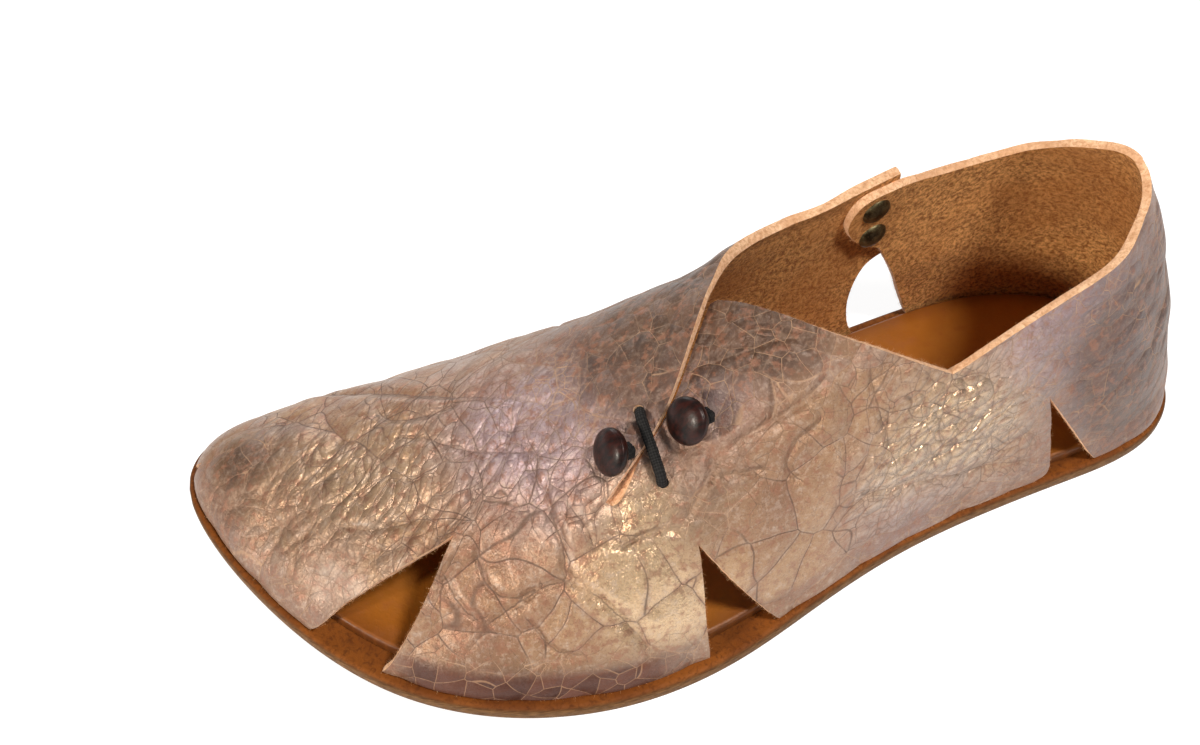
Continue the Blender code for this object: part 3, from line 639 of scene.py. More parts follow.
CREASE_DEPTH = 1.2
DEEPEST = 1.1
FAR = 30.0
LINE_STEP = 2.0
FADE_RUN = 0.15
FADE_LEAST = 0.25
PRESENT_RUN = 0.12
PRESENT_WITHIN = (1.0, 2.0)

# Lips of the slit: length along, rise of the strap's lip, dip of the other lip
LIPS = (
    (149.6, 2.0, 1.3),
    (160.0, 1.5, 1.0),
    (168.0, 0.9, 0.6),
    (176.0, 0.7, 0.3),
    (183.0, 0.9, 0.2),
    (187.0, 0.0, 0.0),
)
LIP_WIDTH = 7.0
LIP_MARGIN = 0.2
STRAP_FLARE = 1.6

# Flaps stand off the last at their lower edge: length along, distance in mm
FLARES = (
    (-106.0, 0.3),
    (0.0, 0.5),
    (50.0, 0.8),
    (72.0, 0.9),
    (110.0, 1.3),
    (148.0, 1.9),
    (200.0, 2.4),
    (240.0, 2.3),
    (262.0, 2.2),
    (306.0, 1.4),
    (400.0, 1.2),
    (504.0, 0.4),
)
FLARE_HEIGHT = 8.0
SHADOW_GAP = 0.7
SHADOW_GAP_HEIGHT = 3.0

# Hammered unevenness: size of the waves in mm, height in mm. It settles towards the sole.
WAVES = ((26.0, 0.55), (11.0, 0.26), (5.5, 0.1))
WAVES_SETTLE = 6.0
WAVES_LEFT = 0.25
print(len(CREASES), "creases, the deepest", max(row[0] for row in CREASES), "mm before they add up")

# %% Relief of creases, lips and waves


def soft_fall(distance, reach):
    """From 1 at no distance softly down to 0 beyond the reach."""
    return np.exp(-((distance / reach) ** 2))


def distance_to_line(points, line):
    """Distance of each point to a line of straight runs, and the share of the way along it."""
    nearest = np.full(len(points), 1e9)
    place = np.zeros(len(points))
    for k, (start, end) in enumerate(zip(line, line[1:])):
        run = end - start
        share = np.clip(((points - start) @ run) / max(run @ run, 1e-9), 0.0, 1.0)
        gap = np.linalg.norm(points - start - share[:, None] * run, axis=1)
        closer = gap < nearest
        nearest[closer] = gap[closer]
        place[closer] = k + share[closer]
    return nearest, place / (len(line) - 1)


def on_leather(rows):
    """Points of the leather for rows of lengths along and up."""
    rows = np.array(rows)
    return leather_surface(rows[:, 0], rows[:, 1])


def crease_relief(points, normals):
    """Height of the creases in mm, signed distance to the nearest one, and how present it is."""
    relief = np.zeros(len(points))
    nearest = np.full(len(points), FAR)
    presence = np.zeros(len(points))
    for depth, width, rows in CREASES:
        line = on_leather(open_spline(rows, LINE_STEP))
        gap, share = distance_to_line(points, line)
        from_end = np.minimum(share, 1 - share)
        fade = np.clip(from_end / FADE_RUN, FADE_LEAST, 1.0)
        trough = soft_fall(gap, width * TROUGH_SHARE)
        shoulder = soft_fall(gap - SHOULDER_AT * width, width)
        relief -= depth * CREASE_DEPTH * fade * (trough - SHOULDER_SHARE * shoulder)
        if depth > 0:
            middle = np.clip((share * (len(line) - 1)).astype(int), 0, len(line) - 2)
            ahead = line[middle + 1] - line[middle]
            side = np.sign(np.einsum("ij,ij->i", np.cross(ahead, points - line[middle]), normals))
            ends = np.clip(from_end / PRESENT_RUN, 0.0, 1.0)
            presence = np.maximum(presence, (1 - smoothstep(*PRESENT_WITHIN, gap)) * ends)
            closer = gap < np.abs(nearest)
            nearest[closer] = (gap * np.where(side == 0, 1.0, side))[closer]
    return DEEPEST * np.tanh(relief / DEEPEST), nearest, presence


def lip_relief(places, points):
    """Rise of the strap's lip and dip of the other lip beside the slit, in mm."""
    slit = strap_lip()
    gap, share = distance_to_line(points, on_leather(slit))
    along_slit = np.interp(share, np.linspace(0.0, 1.0, len(slit)), slit[:, 0])
    lateral = (places[:, 0] >= 0) & (places[:, 0] < TOE_RUN)
    slit_height = np.interp(places[:, 0], slit[::-1, 0], slit[::-1, 1])
    below = lateral & (places[:, 1] < slit_height - LIP_MARGIN)
    near = soft_fall(gap, LIP_WIDTH)
    rise = column(LIPS, 1, along_slit) * near
    dip = column(LIPS, 2, along_slit) * near
    flare_line = on_leather(open_spline(STRAP_TOP[2:-2], LINE_STEP))
    flare = STRAP_FLARE * soft_fall(distance_to_line(points, flare_line)[0], LIP_WIDTH)
    strap = ~lateral & (places[:, 0] > 0)
    return np.where(below, -dip, np.maximum(rise, np.where(strap, flare, 0.0)))


def wave_relief(points):
    """Gentle unevenness of hand-worked leather, in mm."""
    relief = np.zeros(len(points))
    for size, height in WAVES:
        relief += height * np.array([noise.noise(Vector(p) / size) for p in points])
    return relief


leather_along, leather_up = leather_places.T
smooth_skin = leather_surface(leather_along, leather_up)
outward = wall_direction(leather_along, leather_up)
lips = lip_relief(leather_places, smooth_skin)
creases, crease_gap, crease_presence = crease_relief(smooth_skin, outward)
settle = smoothstep(0.0, WAVES_SETTLE, leather_up)
waves = wave_relief(smooth_skin) * (WAVES_LEFT + (1 - WAVES_LEFT) * settle)
flare = column(FLARES, 1, leather_along) * soft_fall(leather_up, FLARE_HEIGHT)
raise_edge = SHADOW_GAP * soft_fall(leather_up, SHADOW_GAP_HEIGHT)
print("relief of the creases down to", round(float(creases.min()), 2), "mm")

# %% [markdown]
# ## Where the leather changes
# The coating isn't even: some areas broke into fine crumbs, and some kept large plates. Spots of painted
# light
# lie on it too: a painted gold highlight, a painted violet reflection, and a dull brown tint that is partly
# painted shade. Small tables place these areas; each becomes a soft spot of values that the finish reads from
# the mesh.

# %% Areas of the leather
# Crumbled areas: length along and up, radius in mm, amount (less than zero keeps large plates)
CRUMBLED = (
    (100.0, 34.0, 24.0, 1.0),
    (88.0, 24.0, 20.0, 1.0),
    (118.0, 26.0, 14.0, 0.7),
    (201.0, 64.0, 24.0, 0.9),
    (212.0, 56.0, 16.0, 0.7),
    (185.0, 68.0, 14.0, 0.4),
    (233.0, 35.0, 12.0, 0.6),
    (240.0, 47.0, 20.0, 0.35),
    (300.0, 20.0, 20.0, 0.5),
    (60.0, 48.0, 26.0, 0.55),
    (40.0, 50.0, 26.0, 0.5),
    (145.0, 74.0, 12.0, 0.4),
    (450.0, 40.0, 40.0, 0.7),
    (480.0, 40.0, 30.0, 0.6),
    (420.0, 75.0, 24.0, 0.6),
    (209.0, 33.0, 14.0, -1.0),
    (197.0, 19.0, 13.0, -1.0),
    (134.0, 43.0, 17.0, -1.0),
    (182.0, 24.0, 15.0, -0.8),
    (150.0, 60.0, 14.0, -0.7),
    (160.0, 30.0, 14.0, -0.6),
    (150.0, 16.0, 16.0, -0.6),
    (40.0, 12.0, 20.0, -0.5),
    (30.0, 45.0, 32.0, 0.4),
    (-10.0, 45.0, 40.0, 0.45),
    (-60.0, 35.0, 34.0, 0.4),
)

# Painted light and tint: length along and up, radius in mm, gold (painted highlight), violet (painted
# reflection), dull (dull brown, partly painted shade)
TINT_AND_PAINTED_LIGHT_SPOTS = (
    (182.0, 25.0, 13.0, 1.0, 0.0, 0.0),
    (178.0, 42.0, 9.0, 0.9, 0.0, 0.0),
    (172.0, 14.0, 12.0, 0.6, 0.1, 0.0),
    (102.0, 36.0, 16.0, 1.0, 0.0, 0.0),
    (89.0, 27.0, 14.0, 0.8, 0.1, 0.0),
    (116.0, 26.0, 12.0, 0.6, 0.2, 0.0),
    (236.0, 46.0, 18.0, 0.45, 0.0, 0.0),
    (264.0, 34.0, 15.0, 0.4, 0.1, 0.0),
    (254.0, 19.0, 15.0, 0.0, 0.15, 0.55),
    (168.0, 43.0, 12.0, 0.0, 0.1, 0.55),
    (190.0, 63.0, 18.0, 0.1, 1.0, 0.0),
    (203.0, 66.0, 14.0, 0.0, 0.6, 0.0),
    (160.0, 64.0, 10.0, 0.0, 0.6, 0.0),
    (58.0, 47.0, 22.0, 0.0, 0.8, 0.45),
    (44.0, 36.0, 18.0, 0.0, 0.2, 0.35),
    (76.0, 50.0, 12.0, 0.0, 0.8, 0.0),
    (110.0, 14.0, 16.0, 0.0, 0.55, 0.25),
    (170.6, 73.0, 13.0, 0.0, 0.0, 0.85),
    (428.0, 72.0, 20.0, 0.0, 0.05, 0.5),
    (404.0, 64.0, 18.0, 0.0, 0.1, 0.25),
    (450.0, 40.0, 45.0, 0.0, 0.1, 0.8),
    (490.0, 40.0, 30.0, 0.0, 0.1, 0.8),
    (147.0, 78.0, 13.0, 0.0, 0.0, 1.0),
    (137.0, 71.0, 9.0, 0.0, 0.1, 0.8),
    (176.0, 3.0, 8.0, 0.0, 0.1, 0.6),
    (190.0, 3.0, 8.0, 0.0, 0.1, 0.8),
    (203.0, 3.0, 7.5, 0.0, 0.0, 0.9),
    (215.0, 3.0, 7.5, 0.0, 0.0, 0.9),
    (228.0, 3.0, 7.0, 0.0, 0.0, 0.8),
    (302.0, 17.0, 9.0, 0.0, 0.0, 0.8),
    (290.0, 8.0, 14.0, 0.0, 0.0, 0.5),
    (42.0, 12.0, 22.0, 0.0, 0.2, 0.6),
    (20.0, 40.0, 40.0, 0.0, 0.3, 0.5),
    (-30.0, 40.0, 40.0, 0.0, 0.2, 0.7),
)
print(len(CRUMBLED), "crumbled spots and", len(TINT_AND_PAINTED_LIGHT_SPOTS), "spots of shine")

# %% Values from the areas


def spots(points, rows, columns):
    """Sum of soft spots at the points, one number for each value column of the rows."""
    values = np.zeros((len(points), columns))
    for row in rows:
        centre = leather_surface(row[0], row[1])[0]
        near = soft_fall(np.linalg.norm(points - centre, axis=1), row[2])
        values += near[:, None] * np.array(row[3 : 3 + columns])
    return values


CRUMBLED_ALL_OVER = 0.25
CREASE_CRUMBLE = 0.55
CREASE_CRUMBLE_REACH = 4.5


def crumble_near_creases(points):
    """Small wrinkles gather beside the deeper folds."""
    nearest = np.full(len(points), 1e9)
    for row in CREASES:
        nearest = np.minimum(nearest, distance_to_line(points, on_leather(row[-1]))[0])
    return CREASE_CRUMBLE * soft_fall(nearest, CREASE_CRUMBLE_REACH)


# Row of dark scales along the foot of the front flap: where it begins and ends, and how high it reaches
SCALY_BEGINS = (174.0, 184.0)
SCALY_ENDS = (232.0, 241.0)
SCALY_HEIGHT = (6.0, 9.0)
scaly = smoothstep(*SCALY_BEGINS, leather_along)
scaly = scaly * (1 - smoothstep(*SCALY_ENDS, leather_along))
scaly = scaly * (1 - smoothstep(*SCALY_HEIGHT, leather_up))
crumbled = CRUMBLED_ALL_OVER + spots(smooth_skin, CRUMBLED, 1)[:, 0] + crumble_near_creases(smooth_skin)
crumbled = np.clip(crumbled, 0.0, 1.0)
# Three channels of painted light: gold painted highlight, violet painted reflection, dull brown that is
# partly painted shade
shine = np.clip(spots(smooth_skin, TINT_AND_PAINTED_LIGHT_SPOTS, 3), 0.0, 1.0)
print("crumbled share", round(float(crumbled.mean()), 2), "gold share", round(float(shine[:, 0].mean()), 2))

# %% [markdown]
# ## One sheet with a wall
# The bent skin, an inner skin one wall deeper, and a slightly bulging raw edge between them make one closed
# sheet. Values such as the resting place and the areas ride on its points, so that every finish can read
# them, whatever happens to the shape afterwards.

# %% Mesh helpers


def new_piece(name, points, faces, smooth_angle=None):
    """A mesh object from working millimetres."""
    mesh = bpy.data.meshes.new(name)
    mesh.from_pydata(to_part(points).tolist(), [], [list(face) for face in faces])
    mesh.validate()
    mesh.shade_smooth()
    if smooth_angle is not None:
        mesh.set_sharp_from_angle(angle=math.radians(smooth_angle))
    return put(name, mesh)


def carry(piece, name, kind, values):
    """Store one value for each point of a piece."""
    layer = piece.data.attributes.new(name, kind, "POINT")
    field = {"FLOAT": "value", "FLOAT_VECTOR": "vector", "FLOAT_COLOR": "color"}[kind]
    layer.data.foreach_set(field, np.asarray(values, dtype=np.float32).ravel())


def sides_of(faces):
    """Open sides of a triangle sheet, each in the direction of its face."""
    sides = set()
    for a, b, c in faces:
        sides.update(((a, b), (b, c), (c, a)))
    return sorted((a, b) for a, b in sides if (b, a) not in sides)


# %% Outer and inner skin
PUFF_STEP = 3.0
PUFF_REACH = 3.0
TOPLINE_PUFF = 0.45
COLLAR_PUFF = 0.1
INNER_CREASES = 0.6
INNER_WAVES = 0.8

topline = np.vstack([open_spline(STRAP_TOP, PUFF_STEP), open_spline(THROAT_EDGE, PUFF_STEP)])
puff = np.zeros(len(smooth_skin))
for edge_rows, height in ((topline, TOPLINE_PUFF), (open_spline(COLLAR_EDGE, PUFF_STEP), COLLAR_PUFF)):
    puff += height * soft_fall(distance_to_line(smooth_skin, on_leather(edge_rows))[0], PUFF_REACH)
standing = smooth_skin + np.array([0.0, 0.0, 1.0]) * raise_edge[:, None]
outer_lift = lips + flare + creases + waves
inner_lift = lips + flare + INNER_CREASES * creases + INNER_WAVES * waves - WALL - puff
outer_skin = standing + outward * outer_lift[:, None]
inner_skin = standing + outward * inner_lift[:, None]
open_sides = sides_of(leather_faces.tolist())
edge_points = sorted({a for side in open_sides for a in side})
edge_number = {point: k for k, point in enumerate(edge_points)}
print("wall at the edges:", round(WALL + float(puff.max()), 2), "mm at most")

# %% Slanted cut of the slit
# The lower lip of the slit is cut at a slant: its inner edge reaches under the strap's lip
SLIT_REACH = 3.6
SLIT_FROM = 164.0
SLIT_MARGIN = 0.1

slit_rows = strap_lip()
slit_line = on_leather(slit_rows)
slit_gap, slit_share = distance_to_line(smooth_skin[edge_points], slit_line)
slit_nodes = np.linspace(0.0, 1.0, len(slit_line))
nearest_lip = np.column_stack([np.interp(slit_share, slit_nodes, slit_line[:, k]) for k in range(3)])
edge_places = leather_places[edge_points]
lip_height = np.interp(edge_places[:, 0], slit_rows[::-1, 0], slit_rows[::-1, 1])
slanted_cut = (slit_gap < SLIT_REACH) & (edge_places[:, 1] < lip_height - SLIT_MARGIN)
slanted_cut &= (edge_places[:, 0] > SLIT_FROM) & (edge_places[:, 0] < TOE_RUN)
moved_edge = np.array(edge_points)[slanted_cut]
inner_skin[moved_edge] += (nearest_lip - smooth_skin[edge_points])[slanted_cut]
print("slanted cut:", len(moved_edge), "points")

# %% Raw edge
EDGE_BULGE = 0.22
EDGE_ROUGHNESS = 0.16
EDGE_GRAIN = 1.1

off_edge = np.zeros((len(edge_points), 3))
for a, b in open_sides:
    run = outer_skin[b] - outer_skin[a]
    sideways = np.cross(run, outward[a])
    sideways /= max(np.linalg.norm(sideways), 1e-9)
    off_edge[edge_number[a]] += sideways
    off_edge[edge_number[b]] += sideways
off_edge /= np.maximum(np.linalg.norm(off_edge, axis=1), 1e-9)[:, None]
middle_skin = (outer_skin[edge_points] + inner_skin[edge_points]) / 2
rough = np.array([noise.noise(Vector(p) / EDGE_GRAIN) for p in middle_skin])
middle_skin = middle_skin + off_edge * (EDGE_BULGE + EDGE_ROUGHNESS * rough)[:, None]
print("raw edge:", len(open_sides), "sides")

# %% The upper
UPPER_SHARP_ANGLE = 55.0

# Material slots of the upper
OUTSIDE = 0
FLESH_SIDE = 1
RAW_EDGE = 2

total = len(outer_skin)
upper_points = np.vstack([outer_skin, inner_skin, middle_skin])
upper_faces = leather_faces.tolist() + (leather_faces[:, ::-1] + total).tolist()
for a, b in open_sides:
    middle_a = 2 * total + edge_number[a]
    middle_b = 2 * total + edge_number[b]
    upper_faces += [[b, a, middle_a, middle_b], [middle_b, middle_a, a + total, b + total]]
upper = new_piece("leather_upper", upper_points, upper_faces, UPPER_SHARP_ANGLE)
face_counts = (len(leather_faces), len(leather_faces), 2 * len(open_sides))
slots_of_faces = np.repeat(np.array((OUTSIDE, FLESH_SIDE, RAW_EDGE), dtype=np.int32), face_counts)
upper.data.polygons.foreach_set("material_index", slots_of_faces)


def on_all(values):
    """Repeat values of the skin for the inner skin and the raw edge."""
    return np.concatenate([values, values, values[edge_points]])


SINGLE_VALUES = {
    "crumbled": crumbled,
    "height": leather_up,
    "crease_gap": crease_gap,
    "crease_presence": crease_presence,
    "scaly": scaly,
}
carry(upper, "rest", "FLOAT_VECTOR", to_part(on_all(smooth_skin)))
carry(upper, "outward", "FLOAT_VECTOR", on_all(outward))
carry(upper, "outside", "FLOAT", np.arange(len(upper_points)) < total)
# The painted gold highlight, the painted violet reflection and the dull brown with painted shade ride on the
# points
carry(upper, "shine", "FLOAT_COLOR", np.column_stack([on_all(shine), np.ones(len(upper_points))]))
for name, values in SINGLE_VALUES.items():
    carry(upper, name, "FLOAT", on_all(values))
print("upper:", len(upper.data.polygons), "faces,", face_counts[RAW_EDGE], "of them along the raw edge")

# %% [markdown]
# ## A small language for nodes
# A finish is a net of nodes. Written one by one, the nodes hide the idea behind the bookkeeping, so a small
# class wraps a socket and lets Python's own signs add the Math nodes. All other nodes come from one method.
# Finishes use this net, and so do the Geometry Nodes further down. Noise and cells count their changes per
# metre, and a wander's reach is in metres.

# %% Sockets in arithmetic


class Signal:
    """A socket that takes part in arithmetic."""

    def __init__(self, net, socket):
        self.net = net
        self.socket = socket

    def math(self, operation, *values):
        return self.net.node("ShaderNodeMath", {"operation": operation}, dict(enumerate(values)))

    def __add__(self, other):
        return self.math("ADD", self, other)

    def __radd__(self, other):
        return self.math("ADD", other, self)

    def __sub__(self, other):
        return self.math("SUBTRACT", self, other)

    def __rsub__(self, other):
        return self.math("SUBTRACT", other, self)

    def __mul__(self, other):
        return self.math("MULTIPLY", self, other)

    def __rmul__(self, other):
        return self.math("MULTIPLY", other, self)

    def __rtruediv__(self, other):
        return self.math("DIVIDE", other, self)

    def __pow__(self, other):
        return self.math("POWER", self, other)

    def __abs__(self):
        return self.math("ABSOLUTE", self)

    def sine(self):
        return self.math("SINE", self)

    def either(self, other):
        return self.math("MAXIMUM", self, other)

    def ramp(self, low, high, start=0.0, end=1.0):
        """Smooth step from start at low to end at high."""
        sockets = {"Value": self, "From Min": low, "From Max": high, "To Min": start, "To Max": end}
        return self.net.node("ShaderNodeMapRange", {"interpolation_type": "SMOOTHSTEP"}, sockets)

    def other(self, label):
        """Another output of the same node."""
        return Signal(self.net, self.socket.node.outputs[label])


# %% Nets of nodes
HALF = (0.5, 0.5, 0.5)


class Net:
    """A node tree with a short way to add nodes."""

    def __init__(self, tree):
        self.tree = tree

    def node(self, kind, settings, sockets, out=0):
        """Add a node: settings first, then values or links of its sockets; give one output back."""
        made = self.tree.nodes.new(kind)
        for label, value in settings.items():
            setattr(made, label, value)
        for label, value in sockets.items():
            if isinstance(value, Signal):
                self.tree.links.new(value.socket, made.inputs[label])
            else:
                made.inputs[label].default_value = value
        return Signal(self, made.outputs[out])

    def noise(self, place, scale, detail=3.0, roughness=0.55, out=0):
        sockets = {"Vector": place, "Scale": scale, "Detail": detail, "Roughness": roughness}
        return self.node("ShaderNodeTexNoise", {}, sockets, out)

    def cells(self, place, scale, feature="DISTANCE_TO_EDGE"):
        sockets = {"Vector": place, "Scale": scale}
        return self.node("ShaderNodeTexVoronoi", {"feature": feature}, sockets, "Distance")

    def vector(self, operation, first, second, out=0):
        return self.node("ShaderNodeVectorMath", {"operation": operation}, {0: first, 1: second}, out)

    def wander(self, place, scale, reach):
        """A place pushed about by noise, so that lines and cells lose their straightness."""
        push = self.noise(place, scale, 1.0, 0.5, "Color")
        push = self.vector("SUBTRACT", push, HALF)
        push = self.vector("MULTIPLY", push, (reach, reach, reach))
        return self.vector("ADD", place, push)


# %% Finishes


def tone(red, green, blue):
    """A picture colour of 0 to 255 as linear light."""
    shares = [value / 255 for value in (red, green, blue)]
    return tuple(s / 12.92 if s <= 0.04045 else ((s + 0.055) / 1.055) ** 2.4 for s in shares) + (1.0,)


def socket_name(label):
    """A word with underscores as the label on the shader's socket."""
    return label.replace("_", " ").title().replace("Ior", "IOR")


class Finish(Net):
    """A material with its Principled shader."""

    def __init__(self, name, **fixed):
        self.material = bpy.data.materials.new(name)
        self.material.use_nodes = True
        super().__init__(self.material.node_tree)
        self.shader = self.tree.nodes["Principled BSDF"]
        for label, value in fixed.items():
            self.shader.inputs[socket_name(label)].default_value = value

    def value(self, name, out="Fac"):
        """A value that rides on the mesh."""
        return self.node("ShaderNodeAttribute", {"attribute_name": name}, {}, out)

    def place(self):
        return self.node("ShaderNodeTexCoord", {}, {}, "Object")

    def stretched(self, place, scale):
        return self.node("ShaderNodeMapping", {}, {"Vector": place, "Scale": scale})

    def split(self, colour):
        """The three shares of a colour."""
        red = self.node("ShaderNodeSeparateColor", {}, {0: colour})
        return red, red.other(1), red.other(2)

    def mix(self, share, first, second):
        return self.node("ShaderNodeMix", {"data_type": "RGBA"}, {0: share, 6: first, 7: second}, 2)

    def layers(self, colour, *rows):
        """Lay tones over a colour, one after the other, each with its share."""
        for share, shade in rows:
            colour = self.mix(share, colour, shade)
        return colour

    def bump(self, height):
        """Relief from a height in millimetres."""
        return self.node("ShaderNodeBump", {}, {"Height": height, "Strength": 1.0, "Distance": MM})

    def set(self, **sockets):
        for label, value in sockets.items():
            self.tree.links.new(value.socket, self.shader.inputs[socket_name(label)])
        return self.material


# %% [markdown]
# ## Crackled leather
# A pearly film was pressed on brown leather and broke when the shoe was bent. Cell patterns give such breaks:
# their edges are the cracks, and each cell tilts a little, as a loose flake does, so neighbours catch the
# light differently. Large plates, flakes and crumbs lie over each other and take turns by area. Dull areas
# carry a net of scales instead.

# %% Patterns of the crackle
# Sizes of the cells in mm
PLATE = 13.0
FLAKE = 6.4
CRUMB = 3.3
SCALE = 5.4

# How the cells are pushed about (changes per metre, reach in metres), slanted and stretched
PLATE_WARP_SCALE = 60.0
PLATE_WARP = 0.007
FLAKE_WARP_SCALE = 110.0
FLAKE_WARP = 0.005
FLAKE_SLANT = 0.785
FLAKE_STRETCH = (1.7, 0.78, 1.0)
FOLD_STRETCH = (0.8, 1.6, 1.0)

# Noises of the film, from coarse to fine: changes per metre, detail, roughness
CLOUD = (38.0, 3.0, 0.55)
PATCH = (60.0, 2.0, 0.55)
FOLD = (150.0, 3.0, 0.5)
SPECKLE = (420.0, 4.0, 0.65)
FLECK = (900.0, 3.0, 0.65)
GRAIN = (1900.0, 2.0, 0.6)

# How far a crease's line sways from its path in mm, by folds and by flecks
FOLD_SWAY = 1.4
FLECK_SWAY = 0.6


class Cells:
    """One pattern of cells of a given size in mm."""

    def __init__(self, finish, place, size):
        self.finish = finish
        self.place = place
        self.gap = finish.cells(place, 1000 / size)
        self.away = finish.cells(place, 1000 / size, "F1")

    def crack(self, full, none):
        """Lines along the edges of the cells."""
        return self.gap.ramp(full, none, 1.0, 0.0)

    def pillow(self):
        """Rounded height of each cell, falling from its middle towards its edges."""
        return 1 - self.away * self.away

    def shade(self, part=0):
        """A number from 0 to 1 that differs from cell to cell."""
        return self.finish.split(self.away.other("Color"))[part]

    def tilt(self):
        """Height of loose flakes: each cell leans its own way."""
        lean = self.finish.vector("SUBTRACT", self.away.other("Color"), HALF)
        from_centre = self.finish.vector("SUBTRACT", self.place, self.away.other("Position"))
        return self.finish.vector("DOT_PRODUCT", lean, from_centre, 1)


class Film(Finish):
    """The pearly film with its patterns and its areas."""

    def __init__(self):
        super().__init__("crackled_leather", specular_ior_level=0.4, coat_roughness=0.3)
        rest = self.value("rest", "Vector")
        slant = {"Vector": rest, "Rotation": (0.0, 0.0, FLAKE_SLANT), "Scale": FLAKE_STRETCH}
        slanted = self.node("ShaderNodeMapping", {"vector_type": "TEXTURE"}, slant)
        plate_place = self.wander(rest, PLATE_WARP_SCALE, PLATE_WARP)
        flake_place = self.wander(slanted, FLAKE_WARP_SCALE, FLAKE_WARP)
        self.plates = Cells(self, plate_place, PLATE)
        self.scales = Cells(self, plate_place, SCALE)
        self.flakes = Cells(self, flake_place, FLAKE)
        self.crumbs = Cells(self, flake_place, CRUMB)
        self.cloud = self.noise(rest, *CLOUD)
        self.patch = self.noise(rest, *PATCH)
        self.fold = self.noise(self.stretched(slanted, FOLD_STRETCH), *FOLD)
        self.speckle = self.noise(rest, *SPECKLE)
        self.fleck = self.noise(rest, *FLECK)
        self.grain = self.noise(rest, *GRAIN)
        # Channels of painted light: a gold painted highlight, a violet painted reflection, and dull brown
        # that is partly painted shade
        self.gold, self.violet, self.dull_and_painted_shade = self.split(self.value("shine", "Color"))
        self.calm = 1 - self.dull_and_painted_shade * 0.8
        self.scaly = self.value("scaly")
        crumbled_area = self.value("crumbled")
        self.flakes_here = crumbled_area.ramp(0.05, 0.5) * self.patch.ramp(0.3, 0.5, 0.35, 1.0)
        self.crumbs_here = crumbled_area.ramp(0.4, 0.9)
        sway = (self.fold - 0.5) * FOLD_SWAY + (self.fleck - 0.5) * FLECK_SWAY
        self.from_crease = abs(self.value("crease_gap") + sway)
        self.at_crease = self.value("crease_presence")


# %% Cracks and relief
# Lines of the cracks: where they are full and where they end, as shares of a cell; the crease's in mm
PLATE_LINE = (0.002, 0.018)
FLAKE_LINE = (0.002, 0.022)
CRUMB_LINE = (0.0, 0.035)
NET_LINE = (0.002, 0.02)
CREASE_LINE = (0.05, 0.3)

# How strong each kind of crack is beside the plates' cracks
FLAKE_SHARE = 0.75
CRUMB_SHARE = 0.4
CREASE_SHARE = 0.75

# Heights in mm: pillows of the cells, crumbs more under the painted gold highlight, then fine grain and sunk
# lines
PLATE_HEIGHT = 1.6
SCALE_HEIGHT = 1.3
CRUMB_HEIGHT = 0.5
HIGHLIGHT_CRUMB_HEIGHT = 2.0
GRAIN_HEIGHT = 0.14
FLECK_HEIGHT = 0.22
FOLD_HEIGHT = 0.5
CRACK_DEPTH = 0.08
CREASE_DIP = 0.35
CREASE_DIP_REACH = 1.4

# Slopes of tilted cells
FLAKE_TILT = 100.0
CRUMB_TILT = 80.0
HIGHLIGHT_CRUMB_TILT = 220.0


def film_cracks(film):
    """Where the film is broken, from 0 to 1."""
    plate_crack = film.plates.crack(*PLATE_LINE) * film.patch.ramp(0.25, 0.6, 0.5, 0.9) * film.calm
    flake_crack = film.flakes.crack(*FLAKE_LINE) * film.flakes_here * film.calm * FLAKE_SHARE
    crumb_crack = film.crumbs.crack(*CRUMB_LINE) * film.crumbs_here * film.calm * CRUMB_SHARE
    net_crack = film.scales.crack(*NET_LINE) * film.dull_and_painted_shade.ramp(0.05, 0.3)
    net_crack = net_crack * film.patch.ramp(0.3, 0.6, 0.45, 0.9)
    crease = film.from_crease.ramp(*CREASE_LINE, 1.0, 0.0) * film.at_crease * film.calm * CREASE_SHARE
    crack = plate_crack.either(flake_crack).either(crumb_crack).either(net_crack).either(crease)
    return crack * (1 - film.scaly) * film.fold.ramp(0.32, 0.55, 0.55, 1.0)


def film_relief(film, crack):
    """Height of the broken film in mm: pillows, tilted flakes, grain and sunk cracks."""
    crumb_height = film.gold * HIGHLIGHT_CRUMB_HEIGHT + CRUMB_HEIGHT
    crumb_tilt = film.gold * HIGHLIGHT_CRUMB_TILT + CRUMB_TILT
    relief = film.plates.pillow() * PLATE_HEIGHT
    relief = relief + film.flakes.pillow() * film.flakes_here
    relief = relief + film.crumbs.pillow() * film.crumbs_here * crumb_height
    relief = relief + film.scales.pillow() * film.scaly.either(film.dull_and_painted_shade) * SCALE_HEIGHT
    relief = relief + film.flakes.tilt() * film.flakes_here * FLAKE_TILT
    relief = relief + film.crumbs.tilt() * film.crumbs_here * crumb_tilt
    relief = relief + film.grain * GRAIN_HEIGHT + film.fleck * FLECK_HEIGHT + film.fold * FOLD_HEIGHT
    beside_crease = film.from_crease.ramp(0.0, CREASE_DIP_REACH, 1.0, 0.0) * film.at_crease
    return relief - crack * CRACK_DEPTH - beside_crease * CREASE_DIP


# %% Colours of the film
FILM_DEEP = tone(154, 118, 91)
FILM_PALE = tone(174, 138, 103)
PLATE_BROWN = tone(132, 96, 78)
FLAKE_GREY = tone(178, 156, 146)
CRUMB_BROWN = tone(128, 96, 80)
# Painted reflection: a lilac tint that stands for the cool sky mirrored on upward faces
VIOLET_PAINTED_REFLECTION = tone(188, 168, 182)
# Painted highlight: a warm gold tint that stands for a lamp's reflection
GOLD_PAINTED_HIGHLIGHT = tone(232, 200, 158)
# Dull brown: darker leather on the strap and along the foot, and painted shade over the heel and some outer
# faces
DULL_AND_SHADE_DARK = tone(54, 36, 25)
DULL_AND_SHADE_PALE = tone(90, 66, 52)
FOOT_BAND = tone(118, 90, 82)
WORN_EDGE = tone(208, 184, 164)
